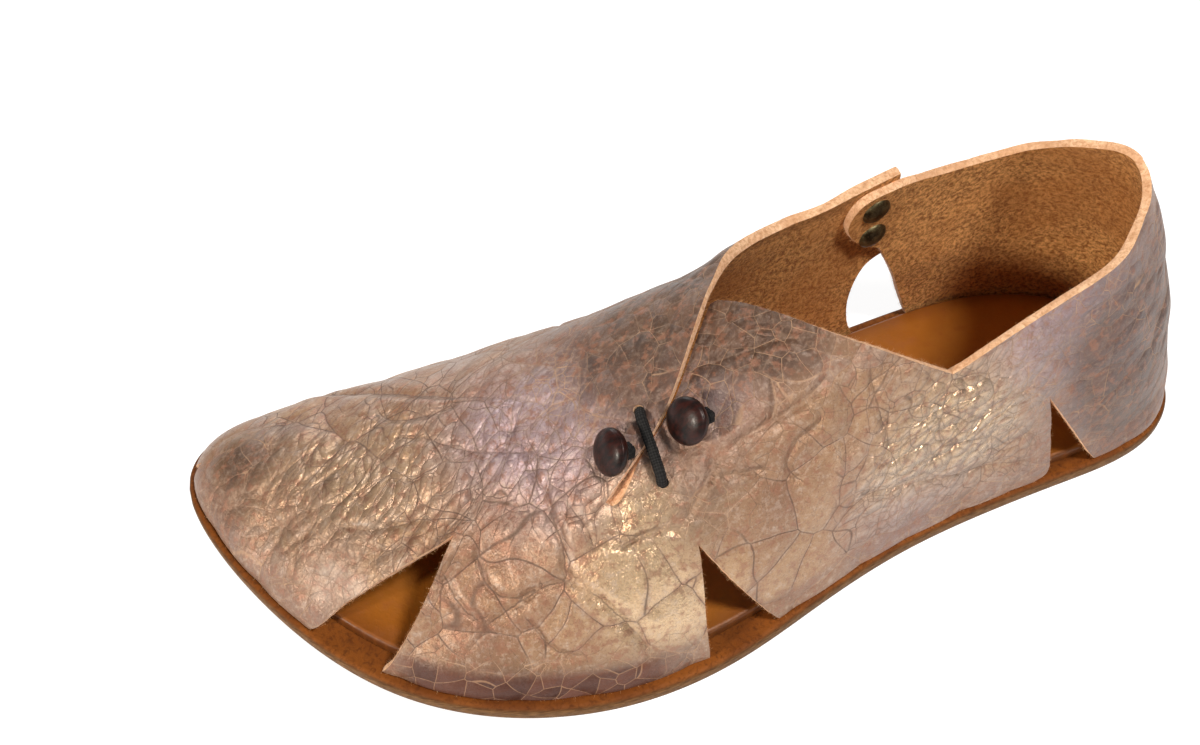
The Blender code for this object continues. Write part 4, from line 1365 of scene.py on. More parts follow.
# Painted glints: small pale flecks
PAINTED_GLINT_FLECK = tone(198, 176, 158)
DARK_GRAIN = tone(104, 76, 62)
# Reddish brown along the cracks; between the crumbs it is painted shade in the valleys
CRACK_RIM_AND_VALLEY_SHADE = tone(116, 70, 48)
TAN_SPECKLE = tone(146, 100, 78)
PALE_SPECKLE = tone(204, 186, 174)
CRACK_DARK = tone(52, 32, 27)
CRACK_PALE = tone(186, 150, 120)
SCALE_DARK = tone(64, 30, 19)
SCALE_BROWN = tone(96, 54, 38)
SCALE_LINE = tone(182, 142, 108)


def film_colour(film, crack):
    """Colour of the film, laid on in thin layers, with the bare leather in its cracks."""
    scale_shade = film.scales.shade()
    band = film.value("height").ramp(6.0, 10.0, 1.0, 0.0) * film.cloud.ramp(0.3, 0.55, 0.4, 1.0)
    worn = film.plates.crack(0.02, 0.06).either(film.flakes.crack(0.03, 0.09) * film.flakes_here)
    # reddish brown along the cracks, and painted shade in the valleys between crumbs
    crack_rim_and_valley_shade = film.plates.crack(0.0, 0.1).either(film.flakes.crack(0.0, 0.16) * film.flakes_here)
    crack_rim_and_valley_shade = crack_rim_and_valley_shade.either(film.crumbs.crack(0.0, 0.25) * film.crumbs_here * 0.8)
    colour = film.layers(
        film.mix(film.cloud.ramp(0.35, 0.65), FILM_DEEP, FILM_PALE),
        (film.plates.shade().ramp(0.2, 1.0, 0.0, 0.35), PLATE_BROWN),
        (film.flakes.shade().ramp(0.4, 1.0, 0.0, 0.45) * film.flakes_here, FLAKE_GREY),
        (film.crumbs.shade(1).ramp(0.3, 1.0, 0.0, 0.35) * film.crumbs_here, CRUMB_BROWN),
        # painted violet reflection
        (film.violet * 0.8, VIOLET_PAINTED_REFLECTION),
        # painted gold highlight
        (film.gold * 0.75, GOLD_PAINTED_HIGHLIGHT),
        # dull brown, partly painted shade
        (film.dull_and_painted_shade * 0.9, film.mix(scale_shade, DULL_AND_SHADE_DARK, DULL_AND_SHADE_PALE)),
        (band * 0.45, FOOT_BAND),
        (worn * film.fleck.ramp(0.4, 0.6, 0.05, 0.3) * film.calm, WORN_EDGE),
        # painted glints as pale flecks
        (film.fleck.ramp(0.5, 0.7, 0.0, 0.4) * (1 - film.dull_and_painted_shade * 0.6), PAINTED_GLINT_FLECK),
        (film.grain.ramp(0.52, 0.72, 0.0, 0.42), DARK_GRAIN),
        (crack_rim_and_valley_shade * film.patch.ramp(0.3, 0.65, 0.55, 0.2) * film.calm, CRACK_RIM_AND_VALLEY_SHADE),
        (film.speckle.ramp(0.5, 0.64, 0.0, 0.6), TAN_SPECKLE),
        (film.speckle.ramp(0.3, 0.46, 0.3, 0.0) * film.calm, PALE_SPECKLE),
    )
    pale_cracks = film.dull_and_painted_shade.either(band * 0.8).ramp(0.15, 0.45, 0.12, 0.95)
    pale_cracks = pale_cracks * film.patch.ramp(0.35, 0.6, 0.5, 1.0)
    crack_tone = film.mix(pale_cracks, CRACK_DARK, CRACK_PALE)
    scale_tone = film.mix(scale_shade, SCALE_DARK, SCALE_BROWN)
    scale_tone = film.mix(film.scales.gap.ramp(0.004, 0.024, 0.5, 0.0), scale_tone, SCALE_LINE)
    return film.layers(colour, (crack * 0.9, crack_tone), (film.scaly * 0.9, scale_tone))


# %% Crackled leather finish


def crackled_leather():
    film = Film()
    crack = film_cracks(film)
    whole = 1 - crack
    roughness = 0.42 + film.fleck.ramp(0.3, 0.7, -0.06, 0.1)
    return film.set(
        base_color=film_colour(film, crack),
        metallic=whole * (0.36 + film.gold * 0.3 - film.dull_and_painted_shade * 0.2) * (1 - film.scaly * 0.9),
        roughness=roughness + crack * 0.2 + film.dull_and_painted_shade * 0.06 - film.gold * 0.16,
        coat_weight=whole * (1 - film.scaly) * (0.12 + film.gold * 0.5),
        normal=film.bump(film_relief(film, crack)),
    )


leather_finish = crackled_leather()
print("finish", leather_finish.name, "with", len(leather_finish.node_tree.nodes), "nodes")

# %% [markdown]
# ## Flesh side and raw edge
# The inside of the leather is its flesh side: short fibres, brushed this way and that, in warm ochre. The
# raw cut edge is paler. Both are matt, and a little sheen stands in for the fibres that are too fine to
# model.

# %% Flesh side and raw edge finishes
FIBROUS = {"sheen_weight": 0.15, "sheen_roughness": 0.5, "specular_ior_level": 0.15}
WARM_SHEEN = (1.0, 0.72, 0.45, 1.0)
NAP_DARK = tone(130, 79, 40)
NAP_PALE = tone(240, 178, 108)
NAP_CLOUD = tone(174, 106, 47)
NAP_FIBRE = tone(226, 168, 94)
# Painted shade on the flesh side inside the strap and heel, darker and redder
NAP_PAINTED_SHADE = tone(112, 56, 26)
EDGE_DARK = tone(190, 138, 98)
EDGE_PALE = tone(246, 206, 168)
EDGE_CLOUD = tone(196, 140, 98)


def flesh_side():
    finish = Finish("flesh_side", sheen_tint=WARM_SHEEN, **FIBROUS)
    rest = finish.value("rest", "Vector")
    dull_and_painted_shade = finish.split(finish.value("shine", "Color"))[2]
    nap = finish.noise(finish.wander(rest, 300.0, 0.002), 900.0, 4.0, 0.7)
    fibre = finish.noise(rest, 2100.0, 3.0, 0.7)
    cloud = finish.noise(rest, 45.0, 3.0)
    colour = finish.layers(
        finish.mix(nap.ramp(0.34, 0.66), NAP_DARK, NAP_PALE),
        (cloud.ramp(0.35, 0.7, 0.0, 0.5), NAP_CLOUD),
        (fibre.ramp(0.5, 0.8, 0.0, 0.5), NAP_FIBRE),
        # painted shade inside the strap
        (dull_and_painted_shade * 0.1, NAP_PAINTED_SHADE),
    )
    relief = nap * 0.3 + fibre * 0.16
    return finish.set(base_color=colour, roughness=0.85 + nap * 0.12, normal=finish.bump(relief))


def raw_edge():
    finish = Finish("raw_edge", **FIBROUS)
    place = finish.place()
    fibre = finish.noise(finish.wander(place, 500.0, 0.002), 1000.0, 4.0, 0.7)
    cloud = finish.noise(place, 120.0, 2.0)
    colour = finish.mix(fibre.ramp(0.25, 0.7), EDGE_DARK, EDGE_PALE)
    colour = finish.mix(cloud.ramp(0.4, 0.7, 0.0, 0.5), colour, EDGE_CLOUD)
    return finish.set(base_color=colour, roughness=0.8 + fibre * 0.15, normal=finish.bump(fibre * 0.3))


flesh_finish = flesh_side()
edge_finish = raw_edge()
print("finishes", flesh_finish.name, edge_finish.name)

# %% [markdown]
# ## Raised plates
# Bump shading can't change an outline, so the larger plates also swell the mesh a little. A Geometry Nodes
# tree can read the same cell pattern from the same resting place as the finish, so the swelling and the
# painted cracks stay together.

# %% Geometry Nodes helper


class Weave(Net):
    """A Geometry Nodes tree with named inputs, one of them its cover."""

    def __init__(self, name, **inputs):
        super().__init__(bpy.data.node_groups.new(name, "GeometryNodeTree"))
        face = self.tree.interface
        for way in ("INPUT", "OUTPUT"):
            face.new_socket("Geometry", in_out=way, socket_type="NodeSocketGeometry")
        self.known = {}
        for label, kind in {**inputs, "cover": "Material"}.items():
            socket = face.new_socket(label, in_out="INPUT", socket_type="NodeSocket" + kind)
            self.known[label] = socket.identifier
        self.first = self.tree.nodes.new("NodeGroupInput")
        self.last = self.tree.nodes.new("NodeGroupOutput")

    def given(self, label):
        return Signal(self, self.first.outputs[label])

    def carried(self, label, kind):
        """A value that rides on the geometry."""
        return self.node("GeometryNodeInputNamedAttribute", {"data_type": kind}, {"Name": label})

    def made_of(self, slot):
        """The faces whose material sits in a slot."""
        number = self.node("GeometryNodeInputMaterialIndex", {}, {})
        settings = {"data_type": "INT", "operation": "EQUAL"}
        return self.node("FunctionNodeCompare", settings, {2: number, 3: slot})

    def turn(self, rotation, angles):
        """A rotation turned further about its own axes."""
        further = self.node("FunctionNodeEulerToRotation", {}, {0: angles})
        settings = {"rotation_space": "LOCAL"}
        return self.node("FunctionNodeRotateRotation", settings, {0: rotation, 1: further})

    def end(self, geometry, selection=True):
        """End the tree in real geometry, with its cover on the selected faces."""
        geometry = self.node("GeometryNodeRealizeInstances", {}, {"Geometry": geometry})
        sockets = {"Geometry": geometry, "Selection": selection, "Material": self.given("cover")}
        covered = self.node("GeometryNodeSetMaterial", {}, sockets)
        self.tree.links.new(covered.socket, self.last.inputs[0])
        return self

    def apply(self, piece, **values):
        """Run the tree on a piece and keep the result as its plain mesh."""
        modifier = piece.modifiers.new(self.tree.name, "NODES")
        modifier.node_group = self.tree
        for label, value in values.items():
            modifier[self.known[label]] = value
        bpy.context.view_layer.update()
        graph = bpy.context.evaluated_depsgraph_get()
        mesh = bpy.data.meshes.new_from_object(piece.evaluated_get(graph), depsgraph=graph)
        piece.modifiers.remove(modifier)
        if piece.type == "MESH":
            piece.data = mesh
            return piece
        name = piece.name
        bpy.data.objects.remove(piece, do_unlink=True)
        return put(name, mesh)


# %% Swell the plates
LEVEL_CELL = 0.2
SWELLING = 0.9


def plate_swelling():
    weave = Weave("plate_swelling", plate_size="Float", swelling="Float")
    place = weave.wander(weave.carried("rest", "FLOAT_VECTOR"), PLATE_WARP_SCALE, PLATE_WARP)
    away = weave.cells(place, 1.0 / weave.given("plate_size"), "F1")
    swell = (LEVEL_CELL - away**2.0) * weave.given("swelling") * weave.carried("outside", "FLOAT")
    sockets = {0: weave.carried("outward", "FLOAT_VECTOR"), "Scale": swell}
    offset = weave.node("ShaderNodeVectorMath", {"operation": "SCALE"}, sockets)
    sockets = {"Geometry": weave.given("Geometry"), "Offset": offset}
    moved = weave.node("GeometryNodeSetPosition", {}, sockets)
    return weave.end(moved, weave.made_of(OUTSIDE))


for finish_of_part in (leather_finish, flesh_finish, edge_finish):
    upper.data.materials.append(finish_of_part)
plate_swelling().apply(upper, plate_size=PLATE * MM, swelling=SWELLING * MM, cover=leather_finish)
print("upper after swelling:", len(upper.data.polygons), "faces, materials", len(upper.data.materials))

# %% [markdown]
# ## Loose fibres
# A knife leaves the cut edge fuzzy. Short bent fibres are scattered over the raw edge with a fixed seed; each
# has only a few faces, since there are thousands of them.

# %% Fibres of the raw edge
FIBRE_LENGTH = 0.8
FIBRE_THICKNESS = 0.055
FIBRE_TIP = 0.004
FIBRE_BEND = 450.0
FIBRE_SIDES = 3
FIBRE_STEPS = 3
FIBRE_LEAN = 1.1
FIBRE_SPIN = 3.1
FIBRE_SHORTEST = 0.45
FIBRE_LONGEST = 1.25
FIBRES_PER_MM2 = 2.2
FIBRE_SEED = 7
FIBRE_DARK = tone(192, 138, 92)
FIBRE_PALE = tone(244, 204, 162)


def one_fibre(weave):
    """A thin cone, bent more and more towards its tip."""
    sockets = {
        "Vertices": FIBRE_SIDES,
        "Side Segments": FIBRE_STEPS,
        "Radius Top": FIBRE_TIP * MM,
        "Radius Bottom": FIBRE_THICKNESS * MM / 2,
        "Depth": MM,
    }
    cone = weave.node("GeometryNodeMeshCone", {"fill_type": "NONE"}, sockets)
    place = weave.node("GeometryNodeInputPosition", {}, {})
    height = weave.node("ShaderNodeSeparateXYZ", {}, {0: place}, 2)
    lean = weave.node("ShaderNodeCombineXYZ", {}, {0: height**2.0 * FIBRE_BEND})
    return weave.node("GeometryNodeSetPosition", {}, {"Geometry": cone, "Offset": lean})


def edge_fibres():
    weave = Weave("edge_fibres", per_square_metre="Float", length="Float", seed="Int")
    sockets = {
        "Mesh": weave.given("Geometry"),
        "Selection": weave.made_of(RAW_EDGE),
        "Density": weave.given("per_square_metre"),
        "Seed": weave.given("seed"),
    }
    points = weave.node("GeometryNodeDistributePointsOnFaces", {}, sockets, "Points")
    limits = {
        "Min": (-FIBRE_LEAN, -FIBRE_LEAN, -FIBRE_SPIN),
        "Max": (FIBRE_LEAN, FIBRE_LEAN, FIBRE_SPIN),
    }
    tilt = weave.node("FunctionNodeRandomValue", {"data_type": "FLOAT_VECTOR"}, limits)
    limits = {2: FIBRE_SHORTEST, 3: FIBRE_LONGEST}
    size = weave.node("FunctionNodeRandomValue", {"data_type": "FLOAT"}, limits, 1)
    stretch = weave.node("ShaderNodeCombineXYZ", {}, {0: 1.0, 1: 1.0, 2: size * weave.given("length")})
    sockets = {
        "Points": points,
        "Instance": one_fibre(weave),
        "Rotation": weave.turn(points.other("Rotation"), tilt),
        "Scale": stretch,
    }
    return weave.end(weave.node("GeometryNodeInstanceOnPoints", {}, sockets))


def fibre_finish():
    finish = Finish("edge_fibre", roughness=0.85, specular_ior_level=0.2)
    speck = finish.noise(finish.place(), 700.0, 2.0)
    return finish.set(base_color=finish.mix(speck.ramp(0.35, 0.65), FIBRE_DARK, FIBRE_PALE))


fuzz = put("edge_fuzz", upper.data.copy())
edge_fibres().apply(
    fuzz,
    per_square_metre=FIBRES_PER_MM2 * 1e6,
    length=FIBRE_LENGTH,
    seed=FIBRE_SEED,
    cover=fibre_finish(),
)
print("fibres:", len(fuzz.data.polygons), "faces")

# %% [markdown]
# ## Insole and outsole
# Both are flat leather plates that follow the toe spring. A grid of stations along the foot and lines across
# it gives smooth tops, and each point carries its distance from the rim, which the finishes use for burnished
# and dark rims.

# %% Sizes of the sole plates
STATIONS = 220
LINES_ACROSS = 26
EVEN_SHARE = 0.25
SOLE_SHARP_ANGLE = 60.0
INSOLE_HOLLOW = 0.5
RIM_THINNED = 4

# Edges from floor side to foot side: inset, share of the thickness
OUTSOLE_EDGE = (
    (1.0, 0.0),
    (0.45, 0.04),
    (0.12, 0.13),
    (0.0, 0.26),
    (0.0, 0.62),
    (0.08, 0.76),
    (0.3, 0.88),
    (0.7, 0.96),
    (1.3, 1.0),
)
INSOLE_EDGE = ((0.0, 0.0), (0.0, 0.62), (0.1, 0.8), (0.35, 0.93), (0.9, 1.0))
WALL_LEAN_ROOM = 0.2
WALL_LEAN_SHARE = 1.3
print("rims:", len(OUTSOLE_EDGE), "rows on the outsole,", len(INSOLE_EDGE), "on the insole")

# %% Sole plates


def stations(curve):
    """Both edges of a closed outline at shared distances from the heel, closer together at its ends."""
    heel = int(np.argmin(curve[:, 0]))
    rolled = np.roll(curve, -heel, axis=0)
    toe = int(np.argmax(rolled[:, 0]))
    lateral_side = rolled[: toe + 1]
    medial_side = np.vstack([rolled[toe:], rolled[:1]])[::-1]
    turns = np.linspace(0.0, math.pi, STATIONS + 1)
    even = np.linspace(0.0, 1.0, STATIONS + 1)
    share = (1 - EVEN_SHARE) * (1 - np.cos(turns)) / 2 + EVEN_SHARE * even
    x = lateral_side[0, 0] + (lateral_side[-1, 0] - lateral_side[0, 0]) * share
    lateral_y = np.interp(x, lateral_side[:, 0], lateral_side[:, 1])
    medial_y = np.interp(x, medial_side[:, 0], medial_side[:, 1])
    return x, lateral_y, medial_y


def sole_rim(curve, edge_rows, low, thick):
    """Points of the rim with their faces, and the numbers of each row's lateral and medial points."""
    points = []
    faces = []
    rims = []
    for inset, share in edge_rows:
        x, lateral_y, medial_y = stations(outline_inset(curve, inset))
        z = spring(x) + low + thick * share
        start = len(points)
        points += list(zip(x, lateral_y, z)) + list(zip(x[1:-1], medial_y[1:-1], z[1:-1]))
        lateral_row = list(range(start, start + STATIONS + 1))
        medial_row = [lateral_row[0]] + list(range(start + STATIONS + 1, len(points))) + [lateral_row[-1]]
        rims.append((lateral_row, medial_row))
    for lower, higher in zip(rims, rims[1:]):
        for i in range(STATIONS):
            faces.append([lower[0][i + 1], lower[0][i], higher[0][i], higher[0][i + 1]])
            faces.append([lower[1][i], lower[1][i + 1], higher[1][i + 1], higher[1][i]])
    return points, faces, rims


def fill_plate(points, faces, rim, side, hollow):
    """Close a plate's underside (side 0) or its top (side 1), which dips by hollow in its middle."""
    lateral_row, medial_row = rim
    rows = []
    for i in range(STATIONS + 1):
        start = np.array(points[lateral_row[i]])
        end = np.array(points[medial_row[i]])
        row = [lateral_row[i]]
        for k in range(1, LINES_ACROSS):
            share = (1 - math.cos(math.pi * k / LINES_ACROSS)) / 2
            place = start + (end - start) * share
            if 0 < i < STATIONS:
                dip = hollow * side * math.sin(math.pi * share) * math.sin(math.pi * i / STATIONS)
                points.append((place[0], place[1], place[2] - dip))
                row.append(len(points) - 1)
            else:
                row.append(lateral_row[i])
        rows.append(row + [medial_row[i]])
    for near, far in zip(rows, rows[1:]):
        for k in range(LINES_ACROSS):
            face = list(dict.fromkeys([near[k], far[k], far[k + 1], near[k + 1]]))
            if len(face) > 2:
                faces.append(face if side == 0 else face[::-1])


def sole_plate(name, curve, edge_rows, low, thick, hollow):
    """A plate with a shaped rim. Its points carry their distance from the rim and their layer."""
    points, faces, rims = sole_rim(curve, edge_rows, low, thick)
    for side, rim in ((0, rims[0]), (1, rims[-1])):
        fill_plate(points, faces, rim, side, hollow)
    piece = new_piece(name, points, faces, SOLE_SHARP_ANGLE)
    points = np.array(points)
    rim_line = curve[::RIM_THINNED]
    rim_gap = [np.linalg.norm(rim_line - p, axis=1).min() for p in points[:, :2]]
    carry(piece, "from_rim", "FLOAT", rim_gap)
    carry(piece, "layer", "FLOAT", (points[:, 2] - spring(points[:, 0]) - low) / thick)
    return piece


def insole_curve():
    """Edge of the insole: inside the wall, as far in as the wall leans at the insole's top."""
    curves = ribs(FEATHER_RUN[:-1])[0]
    top = INSOLE_THICK + FIT_GAP
    lean = np.empty(len(curves))
    for i, curve in enumerate(curves):
        rise = curve[:, 2] - curve[0, 2]
        aside = np.linalg.norm(curve[:, :2] - curve[0, :2], axis=1)
        lean[i] = np.interp(top, rise, aside)
    return outline_inset(FEATHER, WALL + FIT_GAP + WALL_LEAN_ROOM + lean * WALL_LEAN_SHARE)


INSOLE_LOW = OUTSOLE_THICK + FIT_GAP
outsole = sole_plate("leather_outsole", SOLE_CURVE, OUTSOLE_EDGE, 0.0, OUTSOLE_THICK, 0.0)
insole = sole_plate("leather_insole", insole_curve(), INSOLE_EDGE, INSOLE_LOW, INSOLE_THICK, INSOLE_HOLLOW)
print("outsole", len(outsole.data.polygons), "faces, insole", len(insole.data.polygons), "faces")

# %% Finishes of the soles
INSOLE_DEEP = tone(154, 90, 25)
INSOLE_PALE = tone(178, 111, 38)
INSOLE_STREAK = tone(150, 84, 32)
INSOLE_BURNISH = tone(104, 54, 20)
INSOLE_RIM = tone(72, 36, 14)
SOLE_TOP_DEEP = tone(106, 56, 17)
SOLE_TOP_PALE = tone(134, 76, 26)
SOLE_GRAIN = tone(62, 30, 10)
SOLE_SIDE_DEEP = tone(84, 56, 30)
SOLE_SIDE_PALE = tone(126, 90, 54)
SOLE_RIM_LINE = tone(56, 30, 14)
SOLE_FOOT = tone(54, 34, 20)
SIDE_STRETCH = (1.0, 1.0, 9.0)


def insole_finish():
    finish = Finish("smooth_tan_leather", coat_roughness=0.3, specular_ior_level=0.4)
    place = finish.place()
    rim = finish.value("from_rim")
    pores = finish.cells(finish.wander(place, 600.0, 0.002), 900.0, "F1")
    cloud = finish.noise(place, 45.0, 4.0)
    streak = finish.noise(place, 260.0, 4.0, 0.7)
    colour = finish.layers(
        finish.mix(cloud.ramp(0.3, 0.7), INSOLE_DEEP, INSOLE_PALE),
        (streak.ramp(0.5, 0.75, 0.0, 0.4), INSOLE_STREAK),
        (rim.ramp(0.0, 6.0, 0.5, 0.0) + cloud.ramp(0.5, 0.8, 0.0, 0.15), INSOLE_BURNISH),
        (rim.ramp(0.2, 0.8, 0.7, 0.0), INSOLE_RIM),
    )
    relief = pores * 0.05 + streak * 0.03
    roughness = 0.42 + streak.ramp(0.4, 0.7, 0.0, 0.16)
    return finish.set(base_color=colour, roughness=roughness, normal=finish.bump(relief))


def outsole_finish():
    finish = Finish("brown_sole_leather", specular_ior_level=0.15)
    place = finish.place()
    rim = finish.value("from_rim")
    layer = finish.value("layer")
    grain = finish.noise(finish.wander(place, 500.0, 0.003), 800.0, 4.0, 0.7)
    cloud = finish.noise(place, 60.0, 3.0)
    fibre = finish.noise(finish.stretched(place, SIDE_STRETCH), 380.0, 4.0, 0.65)
    top = finish.mix(cloud.ramp(0.3, 0.7), SOLE_TOP_DEEP, SOLE_TOP_PALE)
    top = finish.mix(grain.ramp(0.45, 0.7, 0.0, 0.6), top, SOLE_GRAIN)
    colour = finish.layers(
        finish.mix(fibre.ramp(0.35, 0.65), SOLE_SIDE_DEEP, SOLE_SIDE_PALE),
        (layer.ramp(0.8, 0.98), top),
        (rim.ramp(0.2, 0.9, 1.0, 0.0) * layer.ramp(0.7, 0.9) * 0.5, SOLE_RIM_LINE),
        (layer.ramp(0.0, 0.25, 0.5, 0.0), SOLE_FOOT),
    )
    relief = grain * 0.12 + fibre * 0.1
    roughness = 0.6 + grain.ramp(0.3, 0.7, -0.08, 0.15)
    return finish.set(base_color=colour, roughness=roughness, normal=finish.bump(relief))


insole.data.materials.append(insole_finish())
outsole.data.materials.append(outsole_finish())
print("sole finishes", insole.data.materials[0].name, outsole.data.materials[0].name)

# %% [markdown]
# ## Rivets
# Each rivet shows a low domed cap on the strap and another inside. A cap is turned from a short profile; one
# Geometry Nodes tree sets the same cap on every point of a small list, along the direction stored there.

# %% Turned shapes set on points
TURN_SIDES = 56
TURN_SHARP_ANGLE = 50.0


def turned(name, profile, radius):
    """A closed shape turned about z, from the top of its profile to the bottom."""
    points = []
    rows = []
    for share, height in profile:
        start = len(points)
        if share == 0.0:
            points.append((0.0, 0.0, height))
            rows.append([start] * TURN_SIDES)
            continue
        for k in range(TURN_SIDES):
            angle = 2 * math.pi * k / TURN_SIDES
            points.append((radius * share * math.cos(angle), radius * share * math.sin(angle), height))
        rows.append(list(range(start, start + TURN_SIDES)))
    faces = []
    for higher, lower in zip(rows, rows[1:]):
        for k in range(TURN_SIDES):
            following = (k + 1) % TURN_SIDES
            face = [higher[k], lower[k], lower[following], higher[following]]
            faces.append(list(dict.fromkeys(face)))
    return new_piece(name, np.array(points) + SHIFT, faces, TURN_SHARP_ANGLE)


def set_on_points():
    weave = Weave("set_on_points", shape="Object")
    shape = weave.node("GeometryNodeObjectInfo", {}, {"Object": weave.given("shape")}, "Geometry")
    axis = weave.carried("axis", "FLOAT_VECTOR")
    aim = weave.node("FunctionNodeAlignRotationToVector", {"axis": "Z"}, {"Vector": axis})
    twist = weave.node("ShaderNodeCombineXYZ", {}, {2: weave.carried("spin", "FLOAT")})
    sockets = {"Points": weave.given("Geometry"), "Instance": shape, "Rotation": weave.turn(aim, twist)}
    return weave.end(weave.node("GeometryNodeInstanceOnPoints", {}, sockets))


setting = set_on_points()


def set_copies(name, shape, places, axes, spins, cover):
    """Copies of a shape at the places, joined as one piece; the shape itself is removed."""
    piece = new_piece(name, places, [])
    carry(piece, "axis", "FLOAT_VECTOR", axes)
    carry(piece, "spin", "FLOAT", spins)
    setting.apply(piece, shape=shape, cover=cover)
    bpy.data.objects.remove(shape, do_unlink=True)
    print(name, "has", len(piece.data.polygons), "faces")
    return piece


# %% Rivets
CAP_RADIUS = 3.9
CAP_STANDS_OFF = 0.3
CAP_SEAT = 0.02
CAP_SPINS = (0.3, 1.9, 0.8, 2.6)
BRONZE_DARK = tone(62, 54, 38)
BRONZE_PALE = tone(122, 112, 82)
BRONZE_SCRATCH = tone(186, 174, 134)

# Cap: share of the radius, height in mm
CAP_PROFILE = (
    (0.0, 1.4),
    (0.3, 1.34),
    (0.55, 1.18),
    (0.76, 0.92),
    (0.9, 0.58),
    (0.97, 0.3),
    (1.0, 0.08),
    (0.985, -0.02),
    (0.93, -0.06),
    (0.5, -0.06),
    (0.0, -0.06),
)


def rivet_finish():
    finish = Finish("antique_bronze", metallic=0.85)
    place = finish.place()
    stain = finish.noise(place, 420.0, 4.0, 0.65)
    scratch = finish.noise(finish.wander(place, 900.0, 0.001), 2400.0, 2.0, 0.5)
    colour = finish.mix(stain.ramp(0.35, 0.7), BRONZE_DARK, BRONZE_PALE)
    colour = finish.mix(scratch.ramp(0.6, 0.75, 0.0, 0.4), colour, BRONZE_SCRATCH)
    roughness = 0.3 + stain.ramp(0.3, 0.7, 0.0, 0.2)
    return finish.set(base_color=colour, roughness=roughness, normal=finish.bump(scratch * 0.03))


rivet_along, rivet_up = np.array(RIVETS).T
rivet_axis = last_normal(rivet_along, rivet_up)
rivet_base = last_surface(rivet_along, rivet_up)
outer_caps = rivet_base + rivet_axis * CAP_STANDS_OFF
inner_caps = rivet_base - rivet_axis * (2 * WALL + FIT_GAP + CAP_SEAT)
rivets = set_copies(
    "rivet_caps",
    turned("rivet_cap", CAP_PROFILE, CAP_RADIUS),
    np.vstack([outer_caps, inner_caps]),
    np.vstack([rivet_axis, -rivet_axis]),
    CAP_SPINS,
    rivet_finish(),
)

# %% [markdown]
# ## Buttons
# The buttons are turned from dark wood: a flat dome with a fine line near its rim. Wood grain is rings cut at
# a slant, so stretched noise bands run across the face, under a coat of wax.

# %% Sizes of the buttons
BUTTON_RADIUS = 5.2
BUTTON_THICK = 4.4
BUTTON_SPINS = (0.4, 2.2)
WOOD_STRETCH = (0.35, 1.6, 1.0)
WOOD_DARK = tone(14, 7, 6)
WOOD_RED = tone(50, 18, 12)
WOOD_PORE = tone(16, 10, 9)

# Half profile from the face to the back: share of the radius, share of the thickness
BUTTON_PROFILE = (
    (0.0, 0.5),
    (0.3, 0.485),
    (0.55, 0.435),
    (0.75, 0.355),
    (0.88, 0.27),
    (0.955, 0.19),
    (0.975, 0.15),
    (0.955, 0.125),
    (0.985, 0.1),
    (1.0, 0.05),
    (1.0, -0.06),
    (0.965, -0.2),
    (0.88, -0.32),
    (0.7, -0.39),
    (0.45, -0.42),
    (0.0, -0.42),
)

# How each button hangs on its shank: lean towards the toe in degrees, lift, reach towards the toe
BUTTONS = ((45.0, 4.8, 3.6), (40.0, 4.3, 4.8))
print("buttons of", 2 * BUTTON_RADIUS, "mm across")

# %% Wood and place of the buttons


def button_wood():
    finish = Finish("dark_waxed_wood", coat_weight=0.05, coat_roughness=0.15, specular_ior_level=0.25)
    grain_place = finish.stretched(finish.place(), WOOD_STRETCH)
    rings = finish.noise(finish.wander(grain_place, 160.0, 0.003), 420.0, 4.0, 0.65)
    pores = finish.noise(grain_place, 1900.0, 3.0, 0.6)
    colour = finish.mix(rings.ramp(0.35, 0.65), WOOD_DARK, WOOD_RED)
    colour = finish.mix(pores.ramp(0.55, 0.72, 0.0, 0.6), colour, WOOD_PORE)
    roughness = 0.34 + pores.ramp(0.4, 0.7, 0.0, 0.14)
    relief = rings * 0.03 - pores * 0.04
    return finish.set(base_color=colour, roughness=roughness, normal=finish.bump(relief))


button_centres = []
button_axes = []
shank_roots = []
for (along, up), (lean, lift, reach) in zip(SHANK_HOLES, BUTTONS):
    root = last_surface(along, up)[0]
    normal = last_normal(along, up)[0]
    ahead = last_surface(along + PROBE, up)[0] - root
    toeward = ahead - normal * (ahead @ normal)
    toeward /= np.linalg.norm(toeward)
    button_centres.append(root + normal * lift + toeward * reach)
    button_axes.append(math.cos(math.radians(lean)) * normal + math.sin(math.radians(lean)) * toeward)
    shank_roots.append((root, normal, toeward))
button_shape = [(share, height * BUTTON_THICK) for share, height in BUTTON_PROFILE]
buttons = set_copies(
    "wooden_buttons",
    turned("button", button_shape, BUTTON_RADIUS),
    button_centres,
    button_axes,
    BUTTON_SPINS,
    button_wood(),
)

# %% [markdown]
# ## Elastic cord
# One length of black elastic holds the fastening. From a knot behind the front button it goes through the
# leather, runs inside to a hole beside the slit, crosses the slit as a bar, dives in again and comes out at
# the other button. A Geometry Nodes tree sweeps a round profile along the path and keeps the lengths along
# and round it, which the finish turns into a braid.

# %% Cord swept along a path
CURVE_STEPS = 12
BRAID_ALONG = 5200.0
BRAID_ROUND = 37.7
BRAID_DARK = tone(9, 9, 10)
BRAID_GREY = tone(30, 29, 29)
BRAID_DUST = tone(58, 54, 50)


def noted(weave, curve, name, measure):
    """Store a measure along a curve on its points."""
    value = weave.node("GeometryNodeSplineParameter", {}, {}, measure)
    settings = {"data_type": "FLOAT", "domain": "POINT"}
    sockets = {"Geometry": curve, "Name": name, "Value": value}
    return weave.node("GeometryNodeStoreNamedAttribute", settings, sockets)


